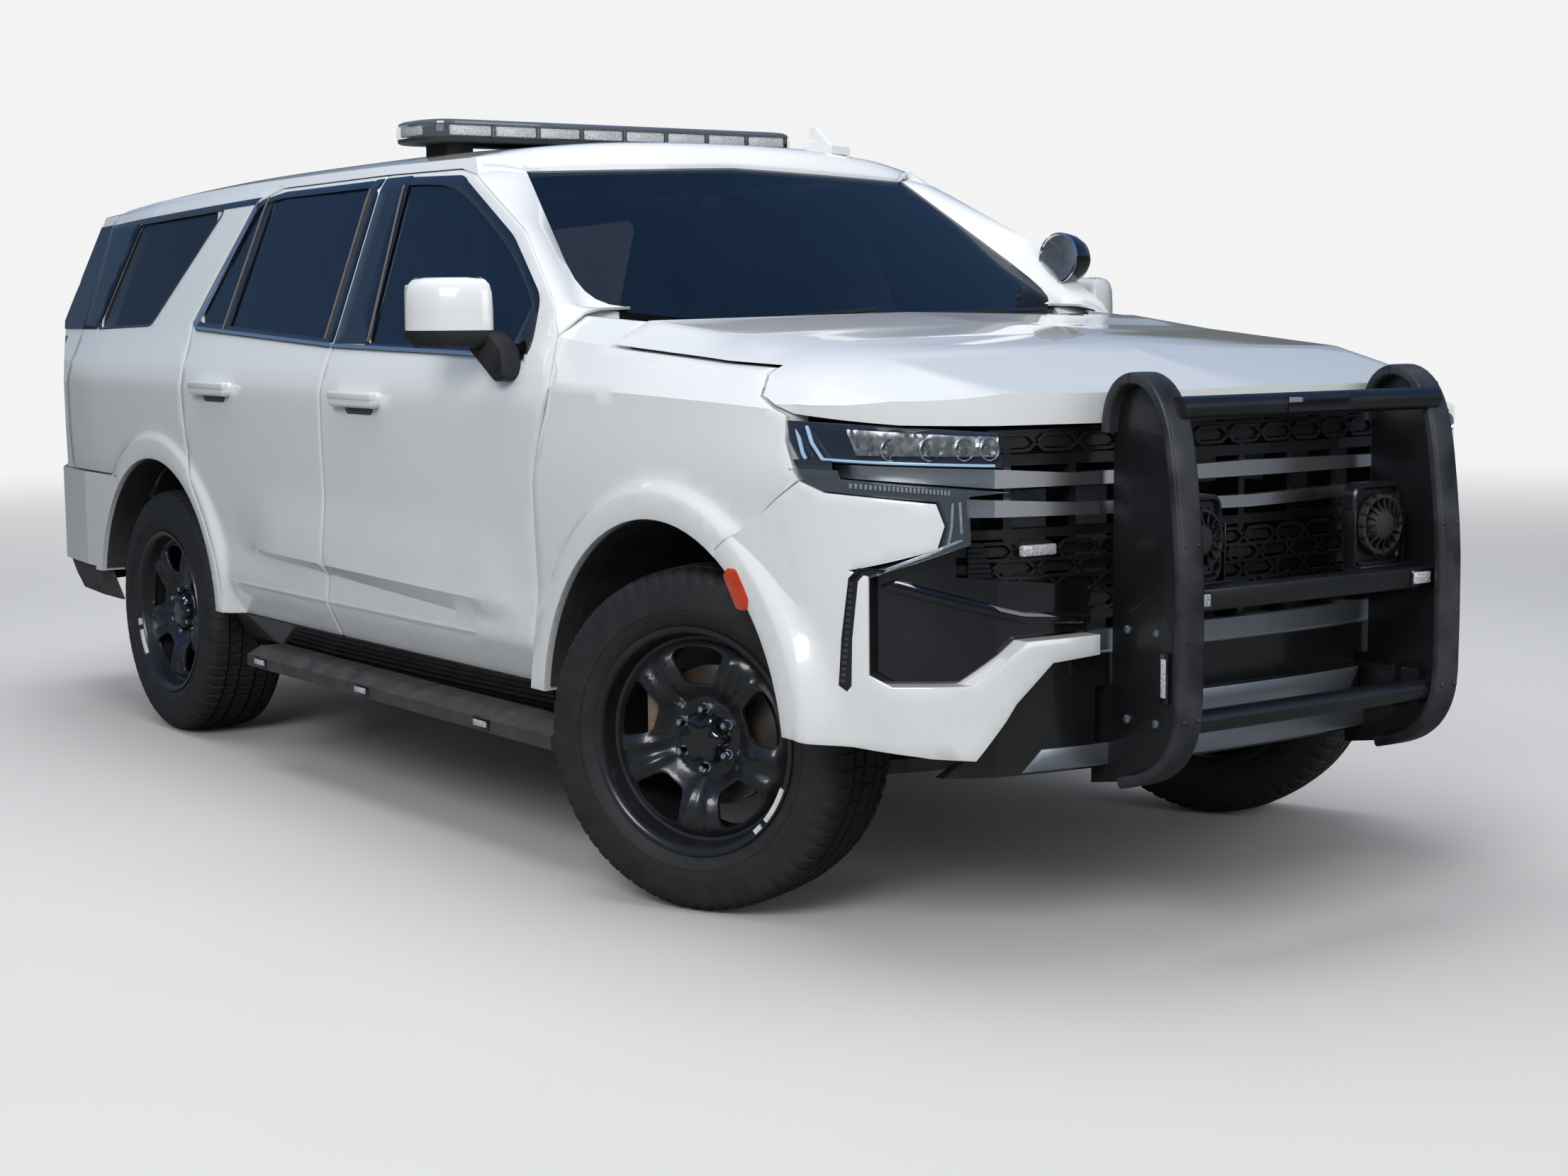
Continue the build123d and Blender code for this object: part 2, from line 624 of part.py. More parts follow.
# Carrier behind the grille and the lamps, standing on the bumper beam
CARRIER_DEPTH = (150.0, 190.0)
with BuildPart() as front_carrier:
    add(combine(nose_band(*CARRIER_DEPTH, 1062, 1100), keep=[box(-850, 850, -1000, -480, 1062, 1100)]))
    for x in (-600, 600):
        add(combine(nose_band(*CARRIER_DEPTH, BEAM_Z[1], 1080), keep=[box(x - 20, x + 20, -1000, -480, BEAM_Z[1], 1080)]))
save(front_carrier.part, "front_carrier")

# Grille: slats from a table, with uprights that carry them
GRILLE_BARS = (
    # z low, z high, half length
    (1098, 1136, 685), (1060, 1084, 685), (905, 925, 760), (868, 888, 762), (831, 851, 764),
    (794, 814, 760), (757, 777, 750), (720, 740, 640),
)
GRILLE_DEPTH = (78.0, 108.0)
GRILLE_BACK = CARRIER_DEPTH[0]
BRIGHT_DEPTH = 52.0
GRILLE_UPRIGHTS = (-640, -480, -320, -160, 0, 160, 320, 480, 640)
with BuildPart() as grille:
    for z_low, z_high, half in GRILLE_BARS:
        add(combine(nose_band(*GRILLE_DEPTH, z_low, z_high), keep=[box(-half, half, -1000, -400, z_low, z_high)]))
    for x in GRILLE_UPRIGHTS:
        add(combine(
            nose_band(GRILLE_DEPTH[0], GRILLE_BACK, BEAM_Z[1], 1136),
            keep=[box(x - 9, x + 9, -1000, -400, BEAM_Z[1], 1136)],
        ))
save(grille.part, "grille")
bright = [both(face_piece(outline, BRIGHT_DEPTH, GRILLE_DEPTH[0])) for outline in (CHROME_UPPER, CHROME_LOWER)]
with BuildPart() as grille_brights:
    for bar in bright:
        add(combine(bar, cut=[both(wing_clear)]))
save(grille_brights.part, "grille_brights")

# Lower valance with its two satin bars
plate_slots = both(box(370, 450, -1000, -700, 380, 580))
valance_back = combine(both(face_piece(VALANCE, 40, FRONT_WALL)), cut=[plate_slots])
satin_upper = both(face_piece([(464, 700), (0, 700), (0, 656), (464, 656)], 42, FRONT_WALL))
satin_lower = both(face_piece([(360, 552), (0, 552), (0, 500), (360, 500)], 22, 40))
save(combine(valance_back, join=[satin_lower]), "lower_valance")
save(satin_upper, "bumper_bar")

# Push bumper: two plates with a thick rounded edge, tubes, shelf and brackets to the frame
PLATE_X = 410.0
PLATE_WALL = 12.0
EDGE_WIDTH = 72.0
PLATE = [(-887, 1215), (-905, 1238), (-940, 1243), (-1000, 1225), (-1040, 1180), (-1086, 1000),
         (-1100, 820), (-1100, 560), (-1080, 480), (-1030, 420), (-930, 380), (-821, 356), (-821, 400),
         (-850, 430), (-828, 453), (-828, 570), (-887, 580)]
EDGE_OUTER = [(-884, 1250), (-940, 1253), (-1010, 1235), (-1058, 1190), (-1110, 1000), (-1130, 820),
              (-1130, 560), (-1108, 470), (-1050, 400), (-950, 360)]
EDGE_INNER = [(-950, 388), (-1035, 425), (-1082, 485), (-1102, 560), (-1102, 820), (-1086, 1000),
              (-1034, 1180), (-995, 1215), (-936, 1233), (-884, 1232)]
plate = side_prism(PLATE, PLATE_X - PLATE_WALL / 2, PLATE_X + PLATE_WALL / 2, 4)
edge = side_prism(EDGE_OUTER + EDGE_INNER, PLATE_X - EDGE_WIDTH / 2, PLATE_X + EDGE_WIDTH / 2, 4)
TUBES = (
    # station, z, radius
    (-1065, 1182, 25), (-1072, 516, 25),
)
with BuildPart() as push_bumper:
    add(both(plate))
    add(both(edge))
    for station, z, radius in TUBES:
        with Locations(Location((0, at(station), z), (0, 90, 0))):
            Cylinder(radius, 2 * PLATE_X)
    add(box(-PLATE_X, PLATE_X, -1082, -1030, 752, 800))
    for side in (-1, 1):
        add(box(min(side * 404, side * 380), max(side * 404, side * 380), -1060, -700, 480, 560))
save(push_bumper.part, "push_bumper")

SPEAKER_X = 290.0
SPEAKER_Z = 890.0
SPEAKER_SIZE = 158.0
SPEAKER_DEPTH = 70.0
SPEAKER_BACK = -970.0
with BuildPart() as speaker:
    with BuildSketch(Plane.XZ.offset(-at(SPEAKER_BACK))):
        with Locations((SPEAKER_X, SPEAKER_Z)):
            RectangleRounded(SPEAKER_SIZE, SPEAKER_SIZE, 30)
    extrude(amount=SPEAKER_DEPTH)
    with BuildSketch(Plane.XZ.offset(-at(SPEAKER_BACK - SPEAKER_DEPTH))):
        with Locations((SPEAKER_X, SPEAKER_Z)):
            Circle(66)
    extrude(amount=10)
    add(box(SPEAKER_X - 20, SPEAKER_X + 20, -1035, -985, 800, 830))
save(both(speaker.part), "siren_speakers")

# Tailgate, its glass and the tail lamps
CABIN_REAR = combine(CABIN_BOTH, keep=[REAR_FACE, box(-1100, 1100, 3900, 4500, 400, 1950)])


def rear_wall(d_low, d_high, outline, radius=0.0):
    """A piece of the rear wall between two depths, inside a rear-view outline."""
    return combine(
        CABIN_REAR, keep=[front_prism(outline, 3900, 4500, radius), rear_limit(d_low)], cut=[rear_limit(d_high)]
    )


REAR_WINDOW_BACK = [(-716, 1352), (716, 1352), (640, 1704), (-640, 1704)]
tailgate_top = combine(
    CABIN_REAR, keep=[tailgate_prism, inside_roof, box(-900, 900, TAILGATE_TOP_S, 4500, 1500, 1950)],
    cut=[moved(CABIN_BOTH, 0, 0, -ROOF_WALL)],
)
tailgate_wall = combine(
    rear_wall(0, TAILGATE_WALL, TAILGATE), keep=[box(-900, 900, TAILGATE_TOP_S, 4500, 600, 1950)],
    cut=[front_prism(REAR_WINDOW_BACK, 3900, 4500, 30)],
)
tailgate = combine(tailgate_wall, join=[tailgate_top])
save(tailgate, "tailgate")
back_pane = [(-715.7, 1352.3), (715.7, 1352.3), (639.7, 1703.7), (-639.7, 1703.7)]
save(rear_wall(GLASS_SINK, GLASS_SINK + GLASS, back_pane, 30), "tailgate_glass")
tail_lamp = combine(
    rear_wall(0, LAMP_DEPTH, TAIL_LAMP), keep=[box(690, 1100, TAIL_LAMP_S, 4500, 900, 1400)]
)
save(both(tail_lamp), "tail_lamps")

# Rear bumper: a wall round the plan's corners, open at the arches, with a tread step
BUMPER_PLAN = [(-1004, 3405), (-1000, 3800), (-968, 4110), (-885, 4295), (-700, 4368), (-350, 4391)]
BUMPER_PLAN = BUMPER_PLAN + [(-x, s) for x, s in reversed(BUMPER_PLAN)]
BUMPER_WALL = 55.0
BUMPER_FOOT_Z = 505.0
TREAD_Z = 684.0


def bumper_plan(depth, z_low, z_high):
    """The rear bumper's plan, sunk by depth, as an upright prism."""
    points = [(x - math.copysign(depth, x), s - (depth if s > 3400 else 0)) for x, s in BUMPER_PLAN]
    return plan_prism(points, z_low, z_high)


bumper_wall = combine(
    bumper_plan(0, BUMPER_FOOT_Z, REAR_BUMPER_TOP_Z),
    cut=[bumper_plan(BUMPER_WALL, 400, 900), both(REAR_ARCH),
         front_prism([(-827, TREAD_Z), (827, TREAD_Z), (827, 900), (-827, 900)], 4000, 4500)],
)
tread = combine(
    bumper_plan(BUMPER_WALL, TREAD_Z - 25, TREAD_Z), keep=[box(-827, 827, 4255, 4500, 600, 700)]
)
rear_lip = arch_lip(WHEELBASE + 8, box(900, 1200, 3400, 3900, 500, REAR_BUMPER_TOP_Z))
rear_arm = box(392, 458, 4200, 4350, BUMPER_FOOT_Z + 5, 585)
save(combine(bumper_wall, join=[tread, both(rear_lip), both(rear_arm)]), "rear_bumper")

# Frame, floor and firewall
RAIL = [
    (-700, 470), (-700, 590), (230, 590), (440, 428), (2715, 428), (2870, 632), (3500, 632), (3700, 590),
    (4200, 590), (4200, 480), (3700, 480), (3480, 520), (2900, 520), (2740, 320), (420, 320), (200, 470),
]
RAIL_X = (392.0, 458.0)
CROSSMEMBERS = (
    # station, z low, z high
    (-600, 490, 570), (620, 325, 344), (1300, 325, 344), (2560, 325, 344), (2900, 530, 600), (3560, 530, 590),
    (4150, 445, 580),
)
save(both(side_prism(RAIL, *RAIL_X)), "frame_rails")
with BuildPart() as crossmembers:
    for station, z_low, z_high in CROSSMEMBERS:
        add(box(-RAIL_X[0], RAIL_X[0], station - 45, station + 45, z_low, z_high))
save(crossmembers.part, "crossmembers")

# Tow receiver: a square socket with its cross pin's bore, below the rear bumper
RECEIVER_OUTER = 63.5
RECEIVER_INNER = 50.8
RECEIVER_TOP_Z = BUMPER_FOOT_Z - FIT_GAP
RECEIVER_Z = RECEIVER_TOP_Z - RECEIVER_OUTER / 2
RECEIVER_S = (4195.0, 4388.0)
RECEIVER_PIN_S = 4324.0
PIN_BORE_RADIUS = 8.2
outer, inner = RECEIVER_OUTER / 2, RECEIVER_INNER / 2
receiver = combine(
    box(-outer, outer, *RECEIVER_S, RECEIVER_Z - outer, RECEIVER_Z + outer),
    cut=[box(-inner, inner, RECEIVER_S[0] + 20, RECEIVER_S[1] + 5, RECEIVER_Z - inner, RECEIVER_Z + inner),
         side_disc(RECEIVER_PIN_S, RECEIVER_Z, PIN_BORE_RADIUS, -100, 100)],
)
save(receiver, "tow_receiver")

FLOOR = [(490, 434), (490, 458), (2690, 458), (2835, 662), (4200, 662), (4200, 638), (2850, 638), (2702, 434)]
FLOOR_X = 1000.0
INNER_HALF = combine(moved(CABIN, -DOOR_WALL - FIT_GAP), keep=[box(0, 1200, 440, 4340, 360, 1900)])
INNER_SPACE = both(INNER_HALF)
REAR_FLOOR_X = 684.0
TUNNEL_X = 190.0
TUNNEL_TOP = 610.0
tunnel = combine(box(-TUNNEL_X, TUNNEL_X, 490, 1500, 434, TUNNEL_TOP),
                 cut=[box(-TUNNEL_X + 15, TUNNEL_X - 15, 400, 1485, 400, TUNNEL_TOP - 15)])
wheel_wells = both(box(REAR_FLOOR_X, 1000, 2555, 3610, 400, 700))
floor_pan = combine(
    side_prism(FLOOR, -FLOOR_X, FLOOR_X), keep=[INNER_SPACE],
    cut=[box(-TUNNEL_X + 15, TUNNEL_X - 15, 400, 1485, 400, 600), wheel_wells],
    join=[tunnel],
)
save(floor_pan, "floor_pan")

COWL_Z = 1322.0
COWL_X = 838.0
FIREWALL_S = 456.2
bonnet_pad = side_prism(
    [(323.3, 1330), (340.1, 1374), (385, 1374), (385, COWL_Z - 10), (354, COWL_Z - 10), (354, 1330)], 575, 625)
firewall = combine(
    box(-FLOOR_X, FLOOR_X, FIREWALL_S, 490, 434, COWL_Z), keep=[INNER_SPACE],
    cut=[box(-TUNNEL_X + 15, TUNNEL_X - 15, 400, 500, 400, 595)],
    join=[box(-COWL_X, COWL_X, 352, 560, COWL_Z - 22, COWL_Z), both(bonnet_pad)],
)
save(firewall, "firewall_cowl")

# Wheel-arch liners: a thin half round and an inner wall
LINER_RADIUS = ARCH_RADIUS - FIT_GAP
FRONT_LINER_X = 484.0


def liner(station, x_low, x_high, wall_z, foot_z):
    """A left wheel-arch liner."""
    outer = side_disc(station, AXLE_Z, LINER_RADIUS, x_low, x_high)
    inner = side_disc(station, AXLE_Z, LINER_RADIUS - LINER_WALL, x_low - 1, x_high + 1)
    shell = combine(outer, keep=[box(x_low, x_high, station - 600, station + 600, foot_z, 1000)], cut=[inner])
    disc = side_disc(station, AXLE_Z, LINER_RADIUS, x_low, x_low + LINER_WALL)
    wall = combine(disc, keep=[box(x_low, x_high, station - 600, station + 600, wall_z, 1000)])
    return combine(shell, join=[wall])


front_liner = liner(-8, FRONT_LINER_X, 962, 640, 620)
rear_liner = liner(WHEELBASE + 8, REAR_FLOOR_X + 6, 890, 560, 470)
with BuildPart() as arch_liners:
    add(both(front_liner))
    add(both(rear_liner))
save(arch_liners.part, "arch_liners")

# Power train and heavy masses
engine_mounts = box(-RAIL_X[0], RAIL_X[0], 20, 100, 500, 570)
save(combine(box(-250, 250, -330, 380, 470, 960), join=[engine_mounts]), "engine_block")
GEARBOX_END_S = 1150.0
AXLE_NOSE_S = WHEELBASE - 130
with BuildPart() as drive_line:
    add(box(-150, 150, 380 + FIT_GAP, GEARBOX_END_S, 345, 590))
    with Locations(Location((0, at((GEARBOX_END_S + AXLE_NOSE_S) / 2), 388), (90, 0, 0))):
        Cylinder(38, AXLE_NOSE_S - FIT_GAP - GEARBOX_END_S)
save(drive_line.part, "gearbox_and_shaft")
save(box(-340, -80, 1500, 2480, 285, 434 - FIT_GAP), "fuel_tank")
exhaust = combine(
    tube([(300, 700, 292.7), (300, 2640, 292.7), (335, 2850, 488), (335, 3330, 488), (300, 3660, 395)], 32),
    join=[box(190, 376, 3640, 4060, 330, 465)],
)
save(exhaust, "exhaust")

# Light bar on four feet
BAR_X = 672.0
BAR_S = (1722.0, 2022.0)
BAR_Z = (1890.0, 1960.0)
BAR_MIDDLE_S = sum(BAR_S) / 2
FOOT_X = 530.0
with BuildPart() as light_bar:
    with BuildSketch(Plane.XY.offset(BAR_Z[0])):
        with Locations((0, at(BAR_MIDDLE_S))):
            RectangleRounded(2 * BAR_X, BAR_S[1] - BAR_S[0], 110)
    extrude(amount=BAR_Z[1] - BAR_Z[0])
    fillet(light_bar.edges().group_by(Axis.Z)[-1], 16)
    for x in (-FOOT_X, FOOT_X):
        add(box(x - 45, x + 45, BAR_MIDDLE_S - 70, BAR_MIDDLE_S + 70, 1825, BAR_Z[0] + 5))
feet_seat = moved(CABIN_BOTH, 0, 0, FIT_GAP)
save(combine(light_bar.part, cut=[feet_seat]), "light_bar")

# Running boards on brackets
BOARD = [(930, 370), (1000, 374), (1046, 350), (1046, 316), (1000, 300), (930, 306)]
BOARD_S = (445.0, 2296.0)
with BuildPart() as board:
    add(front_prism(BOARD, *BOARD_S))
    for station in (700, 1400, 2100):
        add(box(RAIL_X[1], 940, station - 25, station + 25, 335, 360))
save(both(board.part), "running_boards")

# Inside: seats, dashboard and steering wheel
SEAT_FLOOR = 458.0 + FIT_GAP


def seat_back(x, half, station, back_z, rests):
    """A reclined seat back standing on its base, with head rests at the given offsets."""
    back = side_prism(
        [(station + 400, SEAT_TOP), (station + 520, SEAT_TOP), (station + 660, back_z), (station + 560, back_z)],
        x - half, x + half)
    return combine(back, join=[
        box(x + rest - 120, x + rest + 120, station + 570, station + 660, back_z - 30, back_z + 160) for rest in rests
    ])


SEAT_TOP = 760.0 + FIT_GAP
SEATS = (
    # x, half width, station, top of back, head rests
    (-432, 236, 1180, 1160, (0,)), (432, 236, 1180, 1160, (0,)), (0, 620, 2050, 1150, (-400, 400)),
)
with BuildPart() as seat_bases:
    for x, half, station, back_z, rests in SEATS:
        add(box(x - half, x + half, station, station + 520, SEAT_FLOOR, SEAT_TOP - FIT_GAP))
save(seat_bases.part, "seat_bases")
with BuildPart() as seat_backs:
    for x, half, station, back_z, rests in SEATS:
        add(seat_back(x, half, station, back_z, rests))
save(seat_backs.part, "seat_backs")
DASH = [(490.3, 900), (490.3, 1290), (600, 1296), (760, 1270), (860, 1180), (860, 1060), (760, 900)]
DASH_X = 820.0
WHEEL_X = 385.0
WHEEL_S = 1010.0
WHEEL_Z = 1135.0
WHEEL_RAKE = 25.0
column = Plane(origin=(WHEEL_X, at(WHEEL_S), WHEEL_Z),
               z_dir=(0, math.cos(math.radians(WHEEL_RAKE)), math.sin(math.radians(WHEEL_RAKE))))
with BuildPart() as steering_column:
    with BuildSketch(column.offset(-40)):
        Circle(32)
    extrude(amount=-150)
dashboard = combine(side_prism(DASH, -DASH_X, DASH_X, 15), join=[steering_column.part])
save(dashboard, "dashboard")
with BuildPart() as steering_wheel:
    with BuildSketch(Plane(origin=column.origin, x_dir=column.z_dir, z_dir=column.x_dir)):
        with Locations((0, 176)):
            Circle(16)
    revolve(axis=Axis(column.origin, column.z_dir), revolution_arc=360)
    with BuildSketch(column.offset(-40 + FIT_GAP)):
        Circle(72)
    extrude(amount=42)
    with BuildSketch(column.offset(-18)):
        Rectangle(340, 34)
        with Locations((0, -80)):
            Rectangle(40, 170)
    extrude(amount=18)
save(steering_wheel.part, "steering_wheel")

# Mirrors on the front doors
MIRROR_PLAN = [(1000, 712), (1090, 735), (1165, 790), (1190, 855), (1190, 930), (1010, 850)]
MIRROR_Z = (1302.0, 1482.0)
with BuildPart() as mirror_head:
    add(plan_prism(MIRROR_PLAN, *MIRROR_Z, 14))
    fillet(mirror_head.edges().group_by(Axis.Z)[-1], 22)
    fillet(mirror_head.edges().group_by(Axis.Z)[0], 14)
mirror_arm = side_prism([(650, 1222), (700, 1212), (830, 1300), (840, 1345), (720, 1345), (660, 1296)], 930, 1040, 8)
door_mirror = combine(mirror_head.part, join=[mirror_arm])
door_mirror = combine(door_mirror, cut=[moved(CABIN, FIT_GAP)])
save(door_mirror, "mirror_left")
save(mirrored(door_mirror), "mirror_right")

# Spot lamp on the left front pillar, fin aerial and wipers
SPOT_X = 880.0
SPOT_S = 696.0
SPOT_Z = 1532.0
SPOT_RADIUS = 76.0
with BuildPart() as spot_lamp:
    with Locations((SPOT_X, at(SPOT_S), SPOT_Z)):
        Sphere(SPOT_RADIUS)
    add(tube([(SPOT_X, SPOT_S, SPOT_Z), (SPOT_X - 50, SPOT_S - 4, 1455), (SPOT_X - 50, SPOT_S + 60, 1450)], 11))
spot = combine(spot_lamp.part, cut=[body_side, box(700, SPOT_X - 45, 500, 760, 1475, 1700)])
save(spot, "spot_lamp")
FIN_X = 460.0
FIN_S = 1340.0
FIN_Z = 1832.0
FIN_RISE = 24.0
fin_foot = combine(CABIN_BOTH, keep=[box(FIN_X - 34, FIN_X + 34, FIN_S - 100, FIN_S + 60, 1700, 2000)])
fin_foot = combine(moved(fin_foot, z=FIN_RISE), cut=[moved(fin_foot, z=FIT_GAP)])
fin_blade = side_prism([(FIN_S - 70, FIN_Z + 40), (FIN_S + 25, FIN_Z + 112), (FIN_S + 50, FIN_Z + 112),
                        (FIN_S + 52, FIN_Z + 40)], FIN_X - 9, FIN_X + 9)
save(combine(fin_foot, join=[fin_blade]), "fin_aerial")

# Wheels: half profiles as (distance outboard of the wheel's centre plane, radius)
TYRE_PROFILE = [
    (-112, RIM_RADIUS + FIT_GAP), (-TYRE_WIDTH / 2, 322), (-128, 378), (-104, 398), (-60, TYRE_RADIUS),
    (60, TYRE_RADIUS), (104, 398), (128, 378), (TYRE_WIDTH / 2, 322), (112, RIM_RADIUS + FIT_GAP),
    (98, RIM_RADIUS + FIT_GAP), (100, 276), (122, 330), (112, 374), (60, 390),
    (-60, 390), (-112, 374), (-122, 330), (-100, 276), (-98, RIM_RADIUS + FIT_GAP),
]
RIM_PROFILE = [
    (-RIM_HALF_WIDTH - 5, RIM_FLANGE_RADIUS), (-RIM_HALF_WIDTH, RIM_FLANGE_RADIUS),
    (-113, RIM_RADIUS), (-60, RIM_RADIUS), (-40, 232), (70, 232), (90, RIM_RADIUS), (113, RIM_RADIUS),
    (RIM_HALF_WIDTH, RIM_FLANGE_RADIUS), (RIM_HALF_WIDTH + 5, RIM_FLANGE_RADIUS),
    (RIM_HALF_WIDTH + 5, 256), (120, 244), (94, 242), (74, 222), (-44, 222), (-66, 244), (-120, 244),
    (-RIM_HALF_WIDTH - 5, 256),
]
FACE_PROFILE = [
    (48, 0), (48, 88), (62, 104), (92, 150), (96, 205), (84, 228), (62, 228), (66, 200), (62, 152),
    (44, 112), (30, 100), (30, 0),
]
CAP_PROFILE = [(48, 0), (88, 0), (88, 52), (80, 60), (48, 62)]
WINDOW_RADII = (138.0, 214.0)
WINDOW_HALF_ANGLE = 21.0
HUB_PROFILE = [(30, 0), (30, 82), (14, 82), (14, DISC_RADIUS), (-16, DISC_RADIUS), (-16, 74), (-40, 60), (-40, 0)]
LUG_RADIUS = 11.0
LUG_REACH = 76.0


def spun(profile, start=0.0, arc=360.0):
    """A ring or disc about the X axis from an (x, radius) profile."""
    with BuildPart() as ring:
        with BuildSketch(Plane.XZ):
            with BuildLine():
                Polyline(*turned(profile), close=True)
            make_face()
        revolve(axis=Axis.X, revolution_arc=arc)
    return ring.part


def wheel_at_origin():
    """A left steel wheel with its hub and brake disc, centred on the origin."""
    face = spun(FACE_PROFILE)
    with BuildPart() as window:
        with BuildSketch(Plane.YZ.offset(20)):
            with BuildLine():
                low, high = WINDOW_RADII
                angles = (-WINDOW_HALF_ANGLE, WINDOW_HALF_ANGLE)
                a, b = [(low * math.cos(math.radians(v)), low * math.sin(math.radians(v)) * 0.9) for v in angles]
                c, d = [(high * math.cos(math.radians(v)), high * math.sin(math.radians(v))) for v in angles]
                Line(a, c)
                ThreePointArc(c, (high + 2, 0), d)
                Line(d, b)
                Line(b, a)
            make_face()
        extrude(amount=100)
        fillet(window.edges().filter_by(Axis.X), 14)
    turns = [Location((0, 0, 0), (1, 0, 0), 90 + 360 * k / WINDOW_COUNT) for k in range(WINDOW_COUNT)]
    windows = [window.part.moved(turn) for turn in turns]
    with BuildPart() as lugs:
        for k in range(LUG_COUNT):
            angle = math.radians(90 + 360 * k / LUG_COUNT)
            spot = (BOLT_CIRCLE / 2 * math.cos(angle), BOLT_CIRCLE / 2 * math.sin(angle))
            with BuildSketch(Plane.YZ.offset(44)):
                with Locations(spot):
                    RegularPolygon(LUG_RADIUS, 6)
            extrude(amount=LUG_REACH - 44)
    return combine(face, cut=windows, join=[spun(RIM_PROFILE), spun(CAP_PROFILE), spun(HUB_PROFILE), lugs.part])


LEFT_WHEEL = wheel_at_origin()
LEFT_TYRE = spun(TYRE_PROFILE)
STEER = Location((0, 0, 0), (0, 0, 1), PARKED_STEER)
KINGPIN_ARM = HALF_TRACK - KINGPIN_X


def placed(part, left, front):
    """Puts a wheel, tyre or knuckle modelled about the left wheel's centre at one corner."""
    side = part if left else mirrored(part)
    sign = 1 if left else -1
    if front:
        side = side.moved(Location((sign * KINGPIN_ARM, 0, 0))).moved(STEER)
        return side.moved(Location((sign * KINGPIN_X, FRONT_AXLE, AXLE_Z)))
    return side.moved(Location((sign * HALF_TRACK, REAR_AXLE, AXLE_Z)))


CORNERS = (("front_left", True, True), ("front_right", False, True),
           ("rear_left", True, False), ("rear_right", False, False))
for place, left, front in CORNERS:
    save(placed(LEFT_WHEEL, left, front), "wheel_" + place)
    save(placed(LEFT_TYRE, left, front), "tyre_" + place)

# Knuckles, in the left wheel's own frame: upright, stub, caliper and steering arm
STUB_RADIUS = 48.0
ARM_HEIGHTS = (-92.0, 128.0)
with BuildPart() as upright:
    with BuildSketch(Plane.YZ.offset(-92)):
        Rectangle(70, ARM_HEIGHTS[1] - ARM_HEIGHTS[0], align=(Align.CENTER, Align.MIN))
    extrude(amount=32)
knuckle_block = moved(upright.part, 0, 0, ARM_HEIGHTS[0])
with BuildPart() as knuckle_stub:
    with BuildSketch(Plane.YZ.offset(-62)):
        Circle(STUB_RADIUS)
    extrude(amount=62 - 40 - FIT_GAP)
with BuildPart() as caliper:
    with BuildSketch(Plane.YZ.offset(-62)):
        with Locations((140, 60)):
            RectangleRounded(84, 150, 12)
    extrude(amount=88)
caliper_slot = spun([(-19, 0), (-19, 260), (17, 260), (17, 0)])
knuckle_caliper = combine(caliper.part, cut=[caliper_slot])
caliper_keep = spun([(-70, 0), (-70, 212), (60, 212), (60, 0)])
caliper_bridge = combine(spun([(-62, 172), (-62, 205), (26, 205), (26, 172)]),
                         keep=[caliper.part])
with BuildPart() as steering_arm:
    with BuildSketch(Plane.YZ.offset(-92)):
        with Locations((75, -60)):
            Rectangle(150, 26)
    extrude(amount=24)
    with BuildSketch(Plane.YZ.offset(-87)):
        with Locations((80, 60)):
            Rectangle(100, 60)
    extrude(amount=30)
left_knuckle = combine(
    knuckle_block,
    join=[knuckle_stub.part, combine(knuckle_caliper, keep=[caliper_keep]), caliper_bridge, steering_arm.part],
)
for place, left, front in CORNERS[:2]:
    save(placed(left_knuckle, left, front), "knuckle_" + place.split("_")[1])

# Front suspension: arms, coil-over legs and steering rack, joined by the crossmember
LOWER_ARM_Z = AXLE_Z + ARM_HEIGHTS[0] - FIT_GAP
UPPER_ARM_Z = AXLE_Z + ARM_HEIGHTS[1] + FIT_GAP
LOWER_ARM = [(300, -190), (360, -190), (KINGPIN_X + 26, -28), (KINGPIN_X + 26, 28), (360, 190), (300, 190)]
UPPER_ARM = [(440, -120), (500, -120), (KINGPIN_X + 20, -24), (KINGPIN_X + 20, 24), (500, 120), (440, 120)]
leg = tube([(600, 0, LOWER_ARM_Z - 20), (560, 0, 850)], 46)
with BuildPart() as front_suspension:
    add(both(plan_prism(LOWER_ARM, LOWER_ARM_Z - 34, LOWER_ARM_Z)))
    add(both(combine(plan_prism(UPPER_ARM, UPPER_ARM_Z, UPPER_ARM_Z + 24), cut=[box(540, 640, -60, 60, 500, 600)])))
    add(both(leg))
    add(both(box(545, 655, -62, 62, UPPER_ARM_Z, UPPER_ARM_Z + 24)))
    add(box(-320, 320, -70, 70, LOWER_ARM_Z - 60, LOWER_ARM_Z + 40))
    add(box(-330, 330, 120, 180, LOWER_ARM_Z - 34, LOWER_ARM_Z + 30))
front_arms = combine(front_suspension.part, cut=[both(side_prism(RAIL, RAIL_X[0] - FIT_GAP, RAIL_X[1] + FIT_GAP))])

